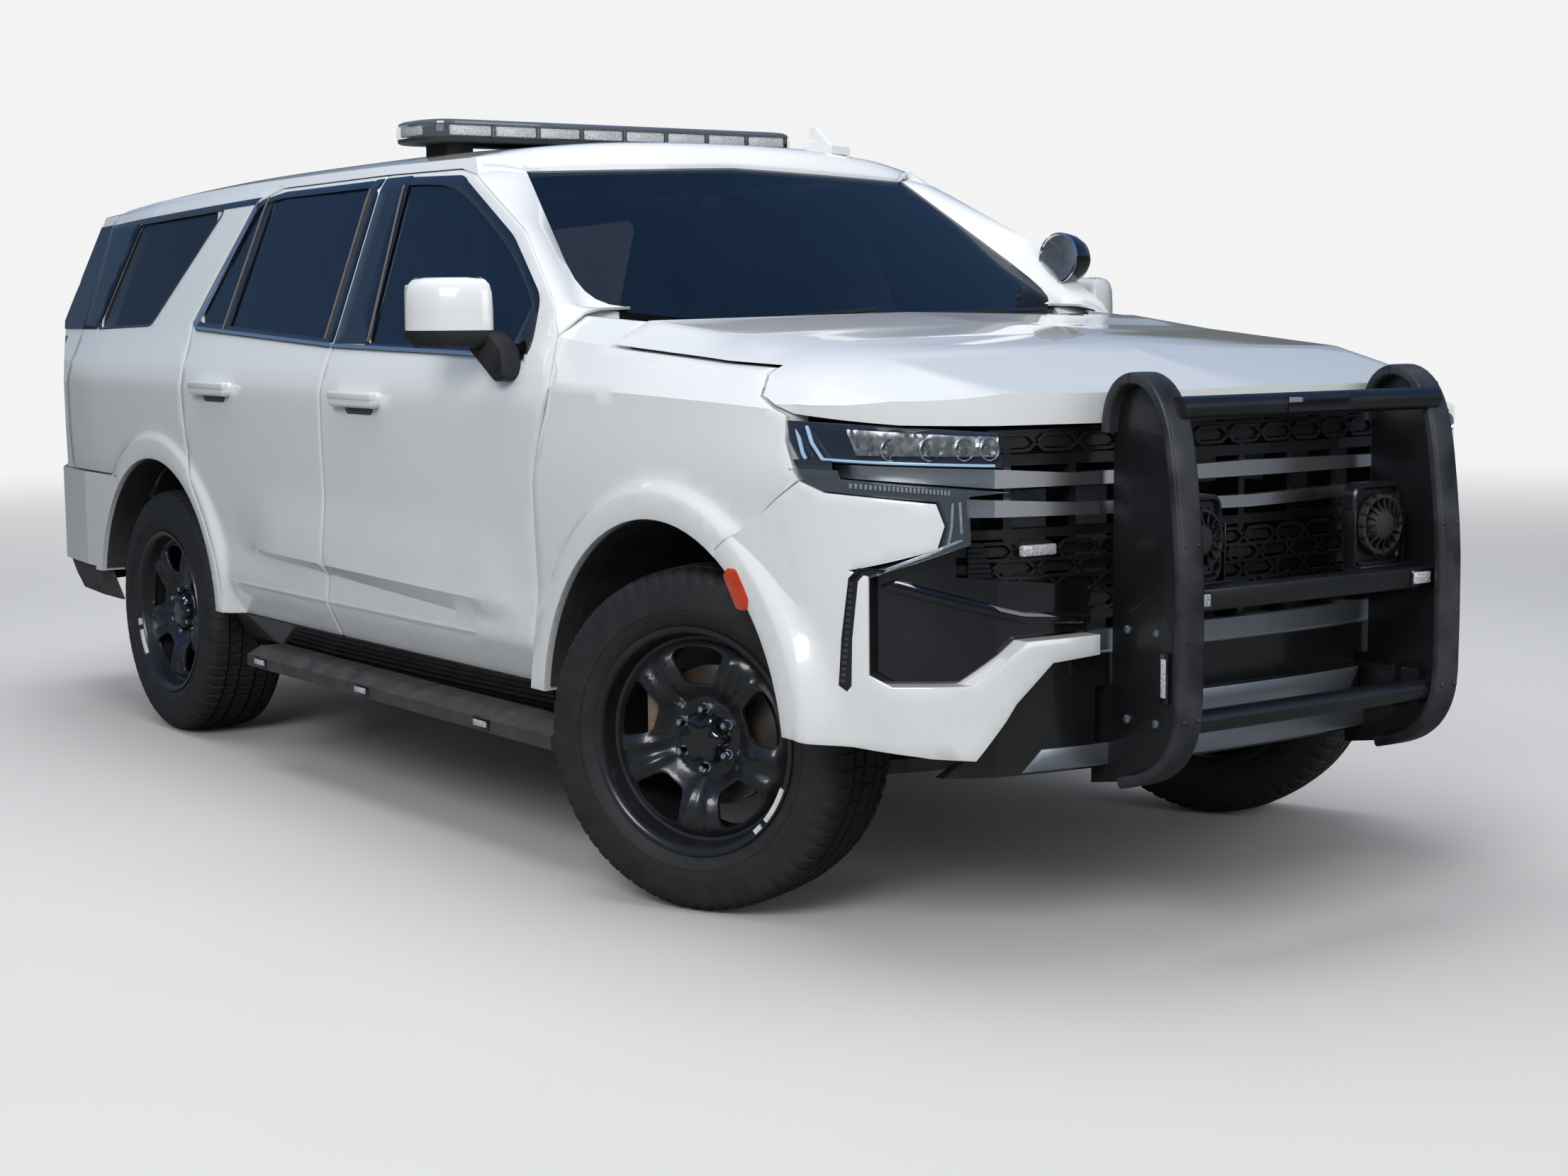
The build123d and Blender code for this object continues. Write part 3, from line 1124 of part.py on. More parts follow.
# Rear suspension: differential, half shafts, arms and hub carriers
REAR_CARRIER_X = (HALF_TRACK - 92, HALF_TRACK - 60)
with BuildPart() as rear_suspension:
    with Locations((0, REAR_AXLE, AXLE_Z)):
        Cylinder(118, 260, rotation=(0, 90, 0))
    add(box(-70, 70, WHEELBASE - 130, WHEELBASE + 150, 330, 500))
    with Locations((0, REAR_AXLE, AXLE_Z)):
        Cylinder(22, 2 * (HALF_TRACK - 60), rotation=(0, 90, 0))
    add(both(box(*REAR_CARRIER_X, WHEELBASE - 60, WHEELBASE + 60, 310, 540)))
    add(both(box(120, REAR_CARRIER_X[0] + 5, WHEELBASE + 90, WHEELBASE + 190, 300, 340)))
    add(both(box(REAR_CARRIER_X[0] - 30, REAR_CARRIER_X[1], WHEELBASE + 40, WHEELBASE + 190, 300, 340)))
    add(box(-130, 130, WHEELBASE + 90, WHEELBASE + 190, 300, 520))
    add(both(tube([(425, WHEELBASE + 140, 320), (425, WHEELBASE + 140, 520)], 42)))
    with Locations((0, REAR_AXLE, AXLE_Z)):
        Cylinder(STUB_RADIUS, 2 * (HALF_TRACK - 40 - FIT_GAP), rotation=(0, 90, 0))
with BuildPart() as suspension:
    add(front_arms)
    add(rear_suspension.part)
save(suspension.part, "suspension")

# Wipers, parked over the cowl
wiper = tube([(-520, 395, 1347), (-60, 402, 1382)], 7)
wiper_two = tube([(60, 395, 1347), (560, 425, 1378)], 7)
with BuildPart() as wipers:
    add(wiper)
    add(wiper_two)
    for x in (-520, 60):
        add(tube([(x, 395, COWL_Z), (x, 395, COWL_Z + 28)], 12))
save(wipers.part, "wipers")
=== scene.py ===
# %% [markdown]
# # Police SUV
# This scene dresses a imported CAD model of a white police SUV. The CAD gives the frame: its bodies, its
# joints and its overall box. Here the painted panels, wheels, lamps, grille, push bumper and trim get their
# looks. Sizes are written in millimetres and turned into metres when a point is made. Stations run rearward
# from the front axle, and left is positive X.

import math
import random

import bmesh
import bpy
import numpy as np
from mathutils import Matrix, Vector
from mathutils.geometry import delaunay_2d_cdt


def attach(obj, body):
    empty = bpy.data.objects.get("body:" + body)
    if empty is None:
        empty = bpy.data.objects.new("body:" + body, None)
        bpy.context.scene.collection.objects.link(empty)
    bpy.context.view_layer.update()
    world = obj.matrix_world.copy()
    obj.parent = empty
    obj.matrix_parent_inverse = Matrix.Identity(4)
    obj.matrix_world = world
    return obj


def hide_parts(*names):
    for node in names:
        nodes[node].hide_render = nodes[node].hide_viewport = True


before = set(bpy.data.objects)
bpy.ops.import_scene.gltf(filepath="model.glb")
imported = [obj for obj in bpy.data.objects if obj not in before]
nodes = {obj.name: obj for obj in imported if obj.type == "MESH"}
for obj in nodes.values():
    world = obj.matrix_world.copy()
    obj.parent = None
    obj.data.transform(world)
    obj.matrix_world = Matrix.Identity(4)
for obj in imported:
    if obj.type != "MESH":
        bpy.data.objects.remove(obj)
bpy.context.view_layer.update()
random.seed(7)
print("loaded", len(nodes), "CAD nodes")

# %% [markdown]
# ## Small helpers
# A few functions do all the shaping: points in the vehicle's frame, smooth curves through table values,
# outlines with round corners, and finished objects that ride on a CAD body.

# %% Points, curves and outlines
MIDDLE_S = 1630.5


def mm(x, s, z):
    """A point from millimetres: across, station behind the front axle, height."""
    return Vector((x / 1000, (s - MIDDLE_S) / 1000, z / 1000))


def curve(xs, ys):
    """A smooth curve through points that never overshoots them."""
    steps = [b - a for a, b in zip(xs, xs[1:])]
    rises = [(b - a) / w for a, b, w in zip(ys, ys[1:], steps)]
    inner = [0 if a * b <= 0 else 2 * a * b / (a + b) for a, b in zip(rises, rises[1:])]
    slopes = [rises[0]] + inner + [rises[-1]]

    def value(x):
        if x <= xs[0]:
            return ys[0] + slopes[0] * (x - xs[0])
        if x >= xs[-1]:
            return ys[-1] + slopes[-1] * (x - xs[-1])
        i = next(k for k in range(len(steps)) if x <= xs[k + 1])
        t = (x - xs[i]) / steps[i]
        a, b = ys[i], ys[i + 1]
        low, high = slopes[i] * steps[i], slopes[i + 1] * steps[i]
        return (2 * t**3 - 3 * t**2 + 1) * a + (t**3 - 2 * t**2 + t) * low \
            + (3 * t**2 - 2 * t**3) * b + (t**3 - t**2) * high

    return value


def line(xs, ys):
    """Straight runs between points."""
    return lambda x: float(np.interp(x, xs, ys))


def smooth(t):
    """Eases from 0 to 1."""
    t = min(1.0, max(0.0, t))
    return t * t * (3 - 2 * t)


def facing(points):
    """The outline in counter-clockwise order."""
    points = list(points)
    area = 0.5 * sum(a[0] * b[1] - b[0] * a[1] for a, b in zip(points, points[1:] + points[:1]))
    return points if area > 0 else points[::-1]


def rounded(points, reach, steps=4):
    """The outline with each corner turned into a short curve."""
    out = []
    for i, corner in enumerate(points):
        p = Vector(corner)
        a, b = Vector(points[i - 1]) - p, Vector(points[(i + 1) % len(points)]) - p
        near = min(reach, 0.45 * a.length, 0.45 * b.length)
        start, end = p + a.normalized() * near, p + b.normalized() * near
        for k in range(steps + 1):
            t = k / steps
            out.append(tuple(start * (1 - t) ** 2 + p * 2 * t * (1 - t) + end * t * t))
    return out


def dense(points, step, closed=True):
    """The same outline with long edges divided."""
    ends = points[1:] + points[:1] if closed else points[1:]
    out = []
    for a, b in zip(points, ends):
        parts = max(1, int(math.hypot(b[0] - a[0], b[1] - a[1]) / step))
        out += [(a[0] + (b[0] - a[0]) * k / parts, a[1] + (b[1] - a[1]) * k / parts) for k in range(parts)]
    return out if closed else out + [points[-1]]


def inset(points, by):
    """A counter-clockwise outline moved inwards."""
    out = []
    count = len(points)
    for i in range(count):
        a, p, b = Vector(points[i - 1]), Vector(points[i]), Vector(points[(i + 1) % count])
        one, two = (p - a), (b - p)
        if one.length < 1e-6 or two.length < 1e-6:
            out.append(tuple(p))
            continue
        one.normalize()
        two.normalize()
        n1, n2 = Vector((-one.y, one.x)), Vector((-two.y, two.x))
        out.append(tuple(p + (n1 + n2) * by / max(0.5, 1 + n1.dot(n2))))
    return out


def inside(points, outline):
    """Which points lie inside an outline."""
    pts, ring = np.asarray(points, float), np.asarray(outline, float)
    result = np.zeros(len(pts), bool)
    for (ax, ay), (bx, by) in zip(ring, np.roll(ring, -1, axis=0)):
        cross = (ay > pts[:, 1]) != (by > pts[:, 1])
        if by != ay:
            result ^= cross & (pts[:, 0] < (bx - ax) * (pts[:, 1] - ay) / (by - ay) + ax)
    return result


def clearance(points, outline, closed=True):
    """Distance from each point to a polyline."""
    pts = np.asarray(points, float)
    ring = np.asarray(outline, float)
    ends = np.roll(ring, -1, axis=0) if closed else ring[1:]
    best = np.full(len(pts), 1e9)
    for a, b in zip(ring if closed else ring[:-1], ends):
        d = b - a
        t = np.clip(((pts - a) @ d) / max(1e-9, d @ d), 0, 1)
        best = np.minimum(best, np.hypot(*(pts - a - t[:, None] * d).T))
    return best


def circle(radius, count=16):
    """Points round a circle."""
    angles = [2 * math.pi * k / count for k in range(count)]
    return [(radius * math.cos(angle), radius * math.sin(angle)) for angle in angles]


def bar(half, low, high, reach, steps):
    """A flat bar's section with round corners."""
    return rounded([(-half, low), (half, low), (half, high), (-half, high)], reach, steps)


# %% Finished objects
def finish(bm, name, look_name, body, sharp=30.0, replaces=()):
    """Turns a bmesh into a named piece with a material, shading and a body to ride on."""
    for face in bm.faces:
        face.smooth = True
    for edge in bm.edges:
        edge.smooth = not (len(edge.link_faces) == 2 and edge.calc_face_angle(0) > math.radians(sharp))
    mesh = bpy.data.meshes.new(name)
    bm.to_mesh(mesh)
    bm.free()
    piece = bpy.data.objects.new(name, mesh)
    bpy.context.scene.collection.objects.link(piece)
    material, slot = LOOKS[look_name]
    mesh.materials.append(material)
    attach(piece, body)
    if replaces:
        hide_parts(*replaces)
    return piece


def loft(bm, rings, closed=False):
    """Adds a skin over rings, run round to its start or capped at both ends."""
    following = rings[1:] + rings[:1] if closed else rings[1:]
    for one, two in zip(rings, following):
        for k in range(len(one)):
            after = (k + 1) % len(one)
            bm.faces.new([one[k], one[after], two[after], two[k]])
    if not closed:
        bm.faces.new(rings[0][::-1])
        bm.faces.new(rings[-1])


def add_to(bm, one):
    """Moves one bmesh's shape into another."""
    mesh = bpy.data.meshes.new("part")
    one.to_mesh(mesh)
    one.free()
    bm.from_mesh(mesh)
    bpy.data.meshes.remove(mesh)


def pair(make, name, look_name, bodies, *shape, **options):
    """Makes a left piece and its right copy."""
    left = make(name + "_left", *shape, look_name, bodies[0], **options)
    mirror_piece(left, name + "_right", look_name, bodies[1])


def mirror_piece(piece, name, look_name, body):
    """The same piece on the other side."""
    bm = bmesh.new()
    bm.from_mesh(piece.data)
    bmesh.ops.scale(bm, vec=(-1, 1, 1), verts=bm.verts)
    bmesh.ops.reverse_faces(bm, faces=bm.faces)
    return finish(bm, name, look_name, body)


# %% Sheets
def panel(name, outline, place, look_name, body, holes=(), creases=(), grid=30.0, hem=3.0, rim=14.0,
          sharp=26.0, replaces=()):
    """A sheet over a flat outline, laid on a surface, with rolled edges and a back.

    place(u, v, depth) gives the point of the surface at the outline's own coordinates, sunk by depth."""
    loops = [dense(facing(outline), grid * 0.8)]
    loops += [dense(facing(hole), min(grid * 0.8, 20)) for hole in holes]
    lips = [inset(loops[0], hem)] + [inset(loop, -hem) for loop in loops[1:]]

    def free(points, gap=0.0):
        """Which points lie in the outline, out of the holes and that far from each lip."""
        keep = inside(points, lips[0])
        for lip in lips[1:]:
            keep &= ~inside(points, lip)
        for lip in lips if gap else ():
            keep &= clearance(points, lip) > gap
        return keep

    flat, edges = [], []
    for lip in lips:
        start = len(flat)
        flat += lip
        edges += [(start + k, start + (k + 1) % len(lip)) for k in range(len(lip))]
    ridges = [dense(list(crease), grid * 0.8, closed=False) for crease in creases]
    for points in ridges:
        keep = free(points, 2)
        for k, point in enumerate(points):
            if keep[k]:
                flat.append(point)
                if k and keep[k - 1]:
                    edges.append((len(flat) - 2, len(flat) - 1))
    us, vs = zip(*lips[0])
    raster = [(u, v) for u in np.arange(min(us) + grid / 2, max(us), grid)
              for v in np.arange(min(vs) + grid / 2, max(vs), grid)]
    keep = free(raster, grid * 0.4)
    for points in ridges:
        keep &= clearance(raster, points, closed=False) > grid * 0.4
    flat += [point for point, good in zip(raster, keep) if good]
    coords, _, faces, origins, _, _ = delaunay_2d_cdt([Vector(p) for p in flat], edges, [], 0, 1e-3)
    where = {old: new for new, olds in enumerate(origins) for old in olds}
    middles = [sum((coords[i] for i in face), Vector((0, 0))) / len(face) for face in faces]
    kept = [(face, middle) for face, middle, good in zip(faces, middles, free(middles)) if good]
    bm = bmesh.new()
    front, rear = [[bm.verts.new(place(c.x, c.y, depth)) for c in coords] for depth in (0.0, rim)]
    for face, _ in kept:
        bm.faces.new([front[i] for i in face])
    for face, _ in kept:
        bm.faces.new([rear[i] for i in reversed(face)])
    start = 0
    for number, (loop, lip) in enumerate(zip(loops, lips)):
        index = [where[start + k] for k in range(len(lip))]
        start += len(lip)
        part_way = inset(loop, -hem * 0.3 if number else hem * 0.3)
        rings = [[front[i] for i in index]]
        for points, depth in ((part_way, hem * 0.3), (loop, hem), (loop, rim - hem * 0.4)):
            rings.append([bm.verts.new(place(*p, depth)) for p in points])
        rings.append([rear[i] for i in index])
        for one, two in zip(rings, rings[1:]):
            for k in range(len(one)):
                after = (k + 1) % len(one)
                corners = [one[k], one[after], two[after], two[k]]
                if len(set(corners)) == 4:
                    bm.faces.new(corners)
    for vert in [v for v in bm.verts if not v.link_faces]:
        bm.verts.remove(vert)
    bmesh.ops.recalc_face_normals(bm, faces=bm.faces)
    bm.faces.ensure_lookup_table()
    c = kept[0][1]
    bm.faces[0].normal_update()
    if bm.faces[0].normal.dot(place(c.x, c.y, -10) - place(c.x, c.y, 10)) < 0:
        bmesh.ops.reverse_faces(bm, faces=bm.faces)
    return finish(bm, name, look_name, body, sharp, replaces)


# %% Swept, stacked, turned and boxed pieces
def sweeps(name, runs, section, look_name, body, up=(0, 0, 1), closed=False, sharp=30.0):
    """A section of (sideways, up) offsets in millimetres carried along each run of points, in one piece."""
    bm = bmesh.new()
    for points in runs:
        rings = []
        for i, p in enumerate(points):
            before = points[i - 1] if closed or i else p
            after = points[(i + 1) % len(points)] if closed or i < len(points) - 1 else p
            along = (after - before).normalized()
            side = along.cross(Vector(up)).normalized()
            high = side.cross(along)
            rings.append([bm.verts.new(p + side * a / 1000 + high * b / 1000) for a, b in section])
        loft(bm, rings, closed)
    bmesh.ops.recalc_face_normals(bm, faces=bm.faces)
    return finish(bm, name, look_name, body, sharp)


def sweep(name, points, section, look_name, body, **options):
    """A section carried along one run of points."""
    return sweeps(name, [points], section, look_name, body, **options)


def stack(name, outline, levels, look_name, body, replaces=(), place=mm):
    """Like outlines stacked up, each level a height and an inset, closed at both ends."""
    bm = bmesh.new()
    loft(bm, [[bm.verts.new(place(a, b, level)) for a, b in inset(facing(outline), by)]
              for level, by in levels])
    bmesh.ops.recalc_face_normals(bm, faces=bm.faces)
    return finish(bm, name, look_name, body, replaces=replaces)


def slab(name, outline, x_low, x_high, look_name, body, edge=3.0, replaces=()):
    """A plate along X cut to a side outline, with bevelled edges."""
    bm = bmesh.new()
    face = bm.faces.new([bm.verts.new(mm(x_low, s, z)) for s, z in facing(outline)])
    grown = bmesh.ops.extrude_face_region(bm, geom=[face])
    moved = [v for v in grown["geom"] if isinstance(v, bmesh.types.BMVert)]
    bmesh.ops.translate(bm, vec=((x_high - x_low) / 1000, 0, 0), verts=moved)
    rims = [e for e in bm.edges if abs(e.verts[0].co.x - e.verts[1].co.x) < 1e-6]
    bmesh.ops.bevel(bm, geom=rims, offset=edge / 1000, segments=3, profile=0.5, affect="EDGES", material=-1)
    bmesh.ops.recalc_face_normals(bm, faces=bm.faces)
    return finish(bm, name, look_name, body, replaces=replaces)


def spun(along, radius, angle):
    """A point turned about the X axis, from millimetres."""
    return Vector((along, radius * math.cos(angle), radius * math.sin(angle))) / 1000


def lathed(profile, segments):
    """A bmesh of a profile of (along X, radius) turned about the X axis."""
    bm = bmesh.new()
    rows = [[bm.verts.new(spun(along, radius, 2 * math.pi * k / segments)) for along, radius in profile]
            for k in range(segments)]
    for one, two in zip(rows, rows[1:] + rows[:1]):
        for j in range(len(profile) - 1):
            bm.faces.new([one[j], one[j + 1], two[j + 1], two[j]])
    bmesh.ops.remove_doubles(bm, verts=bm.verts, dist=1e-6)
    bmesh.ops.recalc_face_normals(bm, faces=bm.faces)
    return bm


def turned(name, profile, centres, axis, look_name, body, segments=48, replaces=()):
    """Like turned pieces at one or more centres in one object."""
    bm = bmesh.new()
    turn = Vector((1, 0, 0)).rotation_difference(Vector(axis)).to_matrix().to_4x4()
    for centre in centres:
        one = lathed(profile, segments)
        bmesh.ops.transform(one, matrix=Matrix.Translation(centre) @ turn, verts=one.verts)
        add_to(bm, one)
    bmesh.ops.recalc_face_normals(bm, faces=bm.faces)
    return finish(bm, name, look_name, body, replaces=replaces)


def blocks(name, boxes, look_name, body, edge=3.0, segments=2, turn=None):
    """Several blocks with bevelled edges in one piece; each is (x, x, s, s, z, z) in millimetres."""
    bm = bmesh.new()
    for x0, x1, s0, s1, z0, z1 in boxes:
        low, high = mm(min(x0, x1), s0, z0), mm(max(x0, x1), s1, z1)
        size = high - low
        one = bmesh.new()
        bmesh.ops.create_cube(one, size=1.0)
        bmesh.ops.scale(one, vec=size, verts=one.verts)
        bmesh.ops.translate(one, vec=(low + high) / 2, verts=one.verts)
        bmesh.ops.bevel(one, geom=list(one.edges), offset=min(edge / 1000, min(size) * 0.45),
                        segments=segments, profile=0.5, affect="EDGES", material=-1)
        if turn:
            bmesh.ops.transform(one, matrix=turn, verts=one.verts)
        add_to(bm, one)
    return finish(bm, name, look_name, body, 40.0)


print("helpers ready")

# %% [markdown]
# ## Materials
# Every look is built from nodes on object coordinates: a base colour with slow variation, roughness that
# wanders a little, fine grain as bump, and road film low down on the paint.

# %% Material builder
LOOKS = {}
ROAD_FILM = (0.36, 0.33, 0.29, 1)


def add_node(tree, kind, inputs=(), **settings):
    """A shader node with its settings, and each input set to a value or linked to another node's output."""
    made = tree.nodes.new("ShaderNode" + kind)
    for key, value in settings.items():
        setattr(made, key, value)
    for key, value in dict(inputs).items():
        if isinstance(value, bpy.types.NodeSocket):
            tree.links.new(value, made.inputs[key])
        else:
            made.inputs[key].default_value = value
    return made


def mixed(tree, share, low, high):
    """A colour between two; 6 and 7 are a Mix node's colour inputs, and 2 its colour output."""
    return add_node(tree, "Mix", {0: share, 6: low, 7: high}, data_type="RGBA").outputs[2]


def look(name, slot, colour, rough, metal=0.0, coat=0.0, second=None, scale=6.0, wander=0.06, grain=0.0,
         grain_scale=900.0, film=0.0, alpha=1.0, cells=False, glow=0.0):
    """A procedural material kept under a short name, with the record's slot it belongs to."""
    made = bpy.data.materials.new(name)
    made.use_nodes = True
    tree = made.node_tree
    link = tree.links.new
    shader = tree.nodes["Principled BSDF"]
    place = add_node(tree, "TexCoord").outputs["Object"]
    values = {"Metallic": metal, "Coat Weight": coat, "Coat Roughness": 0.03, "Alpha": alpha,
              "Roughness": rough}
    if glow:
        values.update({"Emission Color": (*colour, 1), "Emission Strength": glow})
    for key, value in values.items():
        shader.inputs[key].default_value = value
    slow = add_node(tree, "TexNoise", {"Vector": place, "Scale": scale, "Detail": 5.0}).outputs["Fac"]
    spread = add_node(tree, "MapRange", {"Value": slow, "From Min": 0.35, "From Max": 0.7}).outputs["Result"]
    out = mixed(tree, spread, (*colour, 1), (*(second or [c * 0.9 for c in colour]), 1))
    if film:
        height = add_node(tree, "SeparateXYZ", {"Vector": place}).outputs["Z"]
        low = add_node(tree, "MapRange", {"Value": height, "From Min": 0.95, "From Max": 0.35,
                                          "To Max": film})
        patch = add_node(tree, "TexNoise", {"Vector": place, "Scale": 14.0, "Detail": 8.0})
        dust = add_node(tree, "Math", {0: low.outputs["Result"], 1: patch.outputs["Fac"]},
                        operation="MULTIPLY")
        out = mixed(tree, dust.outputs[0], out, ROAD_FILM)
    link(out, shader.inputs["Base Color"])
    if wander:
        rougher = add_node(tree, "MapRange", {"Value": slow, "To Min": max(0.02, rough - wander),
                                              "To Max": min(1.0, rough + wander)})
        link(rougher.outputs["Result"], shader.inputs["Roughness"])
    if grain:
        fine = add_node(tree, "TexVoronoi" if cells else "TexNoise", {"Vector": place, "Scale": grain_scale})
        bump = add_node(tree, "Bump", {"Height": fine.outputs["Distance" if cells else "Fac"],
                                       "Strength": grain, "Distance": 0.001})
        link(bump.outputs["Normal"], shader.inputs["Normal"])
    LOOKS[name] = (made, slot)
    return made


# %% Looks
WHITE = (0.83, 0.845, 0.85)
NAVY_GLASS = dict(colour=(0.003, 0.008, 0.020), rough=0.03, second=(0.004, 0.010, 0.024), wander=0.0)
look("white_paint", "paint", WHITE, 0.22, coat=1.0, second=(0.80, 0.82, 0.83), scale=1.5, film=0.34,
     wander=0.04)
look("white_cap", "white_plastic", WHITE, 0.22, coat=1.0, second=(0.80, 0.82, 0.83), scale=3)
look("black_coat", "steel_black", (0.005, 0.005, 0.006), 0.36, grain=0.12, grain_scale=1600,
     second=(0.009, 0.009, 0.010), coat=0.25)
look("edge_rubber", "steel_black", (0.009, 0.0095, 0.011), 0.42, grain=0.35, grain_scale=700,
     second=(0.05, 0.052, 0.058), scale=9, wander=0.12)
look("grained_plastic", "matt_black", (0.007, 0.007, 0.0075), 0.62, grain=0.35, grain_scale=1100, cells=True,
     second=(0.028, 0.028, 0.029), film=0.25)
look("gloss_black", "gloss_black", (0.003, 0.003, 0.004), 0.08, coat=0.7, second=(0.009, 0.009, 0.011),
     wander=0.03)
look("grille_black", "matt_black", (0.005, 0.005, 0.006), 0.28, coat=0.4, second=(0.009, 0.009, 0.010))
look("chrome", "bright", (0.78, 0.79, 0.80), 0.06, metal=1.0, second=(0.70, 0.71, 0.73), wander=0.03)
look("grille_chrome", "bright", (0.88, 0.89, 0.91), 0.24, metal=1.0, second=(0.80, 0.82, 0.85), wander=0.03)
look("satin_bar", "satin", (0.33, 0.36, 0.39), 0.34, metal=0.85, second=(0.26, 0.29, 0.32), grain=0.05,
     grain_scale=400)
look("side_glass", "dark_glass", alpha=0.93, **NAVY_GLASS)
look("glass_black", "dark_glass", **NAVY_GLASS)
look("facet_mirror", "bright", (0.85, 0.83, 0.76), 0.34, metal=1.0, second=(0.35, 0.38, 0.42), scale=70,
     wander=0.05)
look("bar_lens_clear", "lamp_clear", (0.30, 0.34, 0.38), 0.04, coat=1.0, second=(0.25, 0.29, 0.33),
     alpha=0.15, wander=0.0)
look("screen_glass", "clear_glass", (0.004, 0.009, 0.019), 0.03, second=(0.005, 0.011, 0.022), alpha=0.62,
     wander=0.0)
look("lamp_lens", "lamp_clear", (0.006, 0.016, 0.034), 0.03, coat=0.6, second=(0.010, 0.022, 0.045),
     alpha=0.13, wander=0.0)
look("clear_lens", "lamp_clear", (0.12, 0.14, 0.16), 0.05, coat=0.8, second=(0.10, 0.12, 0.14), alpha=0.34,
     wander=0.0)
look("smoke_lens", "lamp_clear", (0.05, 0.055, 0.065), 0.06, coat=1.0, second=(0.09, 0.10, 0.11), alpha=0.80,
     wander=0.03)
look("reflector", "bright", (0.86, 0.87, 0.88), 0.14, metal=1.0, second=(0.60, 0.62, 0.66), scale=90,
     grain=0.6, grain_scale=260, cells=True)
look("light_guide", "lamp_clear", (0.55, 0.62, 0.70), 0.2, coat=1.0, second=(0.35, 0.42, 0.5), scale=120)
look("led_array", "lamp_clear", (0.75, 0.76, 0.78), 0.18, second=(0.22, 0.22, 0.24), scale=260, grain=0.8,
     grain_scale=120, cells=True, coat=0.8)
# Dark lamp housings; the same dark also serves as the painted shade of the door handles' scoops
look("lamp_dark", "gloss_black", (0.035, 0.050, 0.075), 0.18, coat=0.6, second=(0.03, 0.04, 0.06))
look("red_lens", "lamp_red", (0.16, 0.010, 0.012), 0.10, coat=1.0, second=(0.09, 0.006, 0.008), scale=20)
look("amber_lens", "lamp_red", (0.62, 0.055, 0.008), 0.16, coat=1.0, second=(0.50, 0.035, 0.006), scale=40,
     grain=0.35, grain_scale=300, cells=True)
look("wheel_black", "wheel_black", (0.011, 0.011, 0.012), 0.30, coat=0.35, second=(0.02, 0.02, 0.022),
     grain=0.10, grain_scale=1400)
look("cap_black", "wheel_black", (0.006, 0.006, 0.007), 0.10, coat=1.0, second=(0.01, 0.01, 0.012))
look("rusty_iron", "iron", (0.20, 0.12, 0.075), 0.72, metal=0.35, second=(0.36, 0.27, 0.20), scale=30,
     grain=0.5, grain_scale=500)
look("bare_disc", "iron", (0.36, 0.33, 0.30), 0.38, metal=0.9, second=(0.24, 0.17, 0.12), scale=16)
look("cast_alloy", "alloy", (0.36, 0.36, 0.37), 0.5, metal=0.8, second=(0.26, 0.26, 0.27), scale=20,
     grain=0.3)
look("underbody", "chassis", (0.03, 0.03, 0.032), 0.6, second=(0.06, 0.055, 0.05), scale=9, grain=0.3,
     film=0.3)
look("dull_steel", "exhaust_steel", (0.28, 0.26, 0.24), 0.45, metal=0.9, second=(0.20, 0.16, 0.13), scale=14)
look("door_trim", "trim", (0.035, 0.035, 0.038), 0.6, second=(0.05, 0.05, 0.052), grain=0.4, grain_scale=700,
     cells=True)
look("dash_trim", "trim", (0.03, 0.03, 0.033), 0.55, second=(0.045, 0.045, 0.048), grain=0.4, grain_scale=800,
     cells=True)
look("seat_cloth", "seat_cloth", (0.035, 0.036, 0.040), 0.88, second=(0.055, 0.056, 0.060), scale=60,
     grain=0.8, grain_scale=1300, cells=True)
look("white_strip", "white_plastic", (0.75, 0.77, 0.76), 0.5, second=(0.62, 0.64, 0.63), scale=40)
look("channel_grey", "matt_black", (0.15, 0.135, 0.12), 0.5, second=(0.20, 0.18, 0.16), scale=30)
look("mirror_glass", "bright", (0.55, 0.58, 0.62), 0.04, metal=1.0, second=(0.50, 0.53, 0.57), wander=0.0)
look("tyre_rubber", "tyre", (0.009, 0.009, 0.0095), 0.66, second=(0.016, 0.0155, 0.015), scale=18, grain=0.25,
     film=0.04)
look("floor_grey", "floor", (0.62, 0.62, 0.62), 0.85, second=(0.60, 0.60, 0.60), scale=0.6)
look("light_stripe", "lamp_clear", (0.42, 0.62, 0.82), 0.2, coat=1.0, second=(0.34, 0.54, 0.76), glow=0.25)

# The body sides are white above the sill's fold and black below it
SILL_FOLD = 0.452
sides = look("body_split", "paint", WHITE, 0.22, coat=1.0, second=[c * 0.97 for c in WHITE],
             scale=1.5).node_tree
side_colour = sides.nodes["Principled BSDF"].inputs["Base Color"]
place = add_node(sides, "TexCoord").outputs["Object"]
height = add_node(sides, "SeparateXYZ", {"Vector": place}).outputs["Z"]
above = add_node(sides, "Math", {0: height, 1: SILL_FOLD}, operation="GREATER_THAN").outputs[0]
sides.links.new(mixed(sides, above, (0.005, 0.005, 0.006, 1), side_colour.links[0].from_socket), side_colour)
print("made", len(LOOKS), "materials")

# %% [markdown]
# ## The body's surfaces
# The tables hold the sections of the cabin and the nose. Smooth curves through them give one surface for the
# side, one for the roof and one round the front.

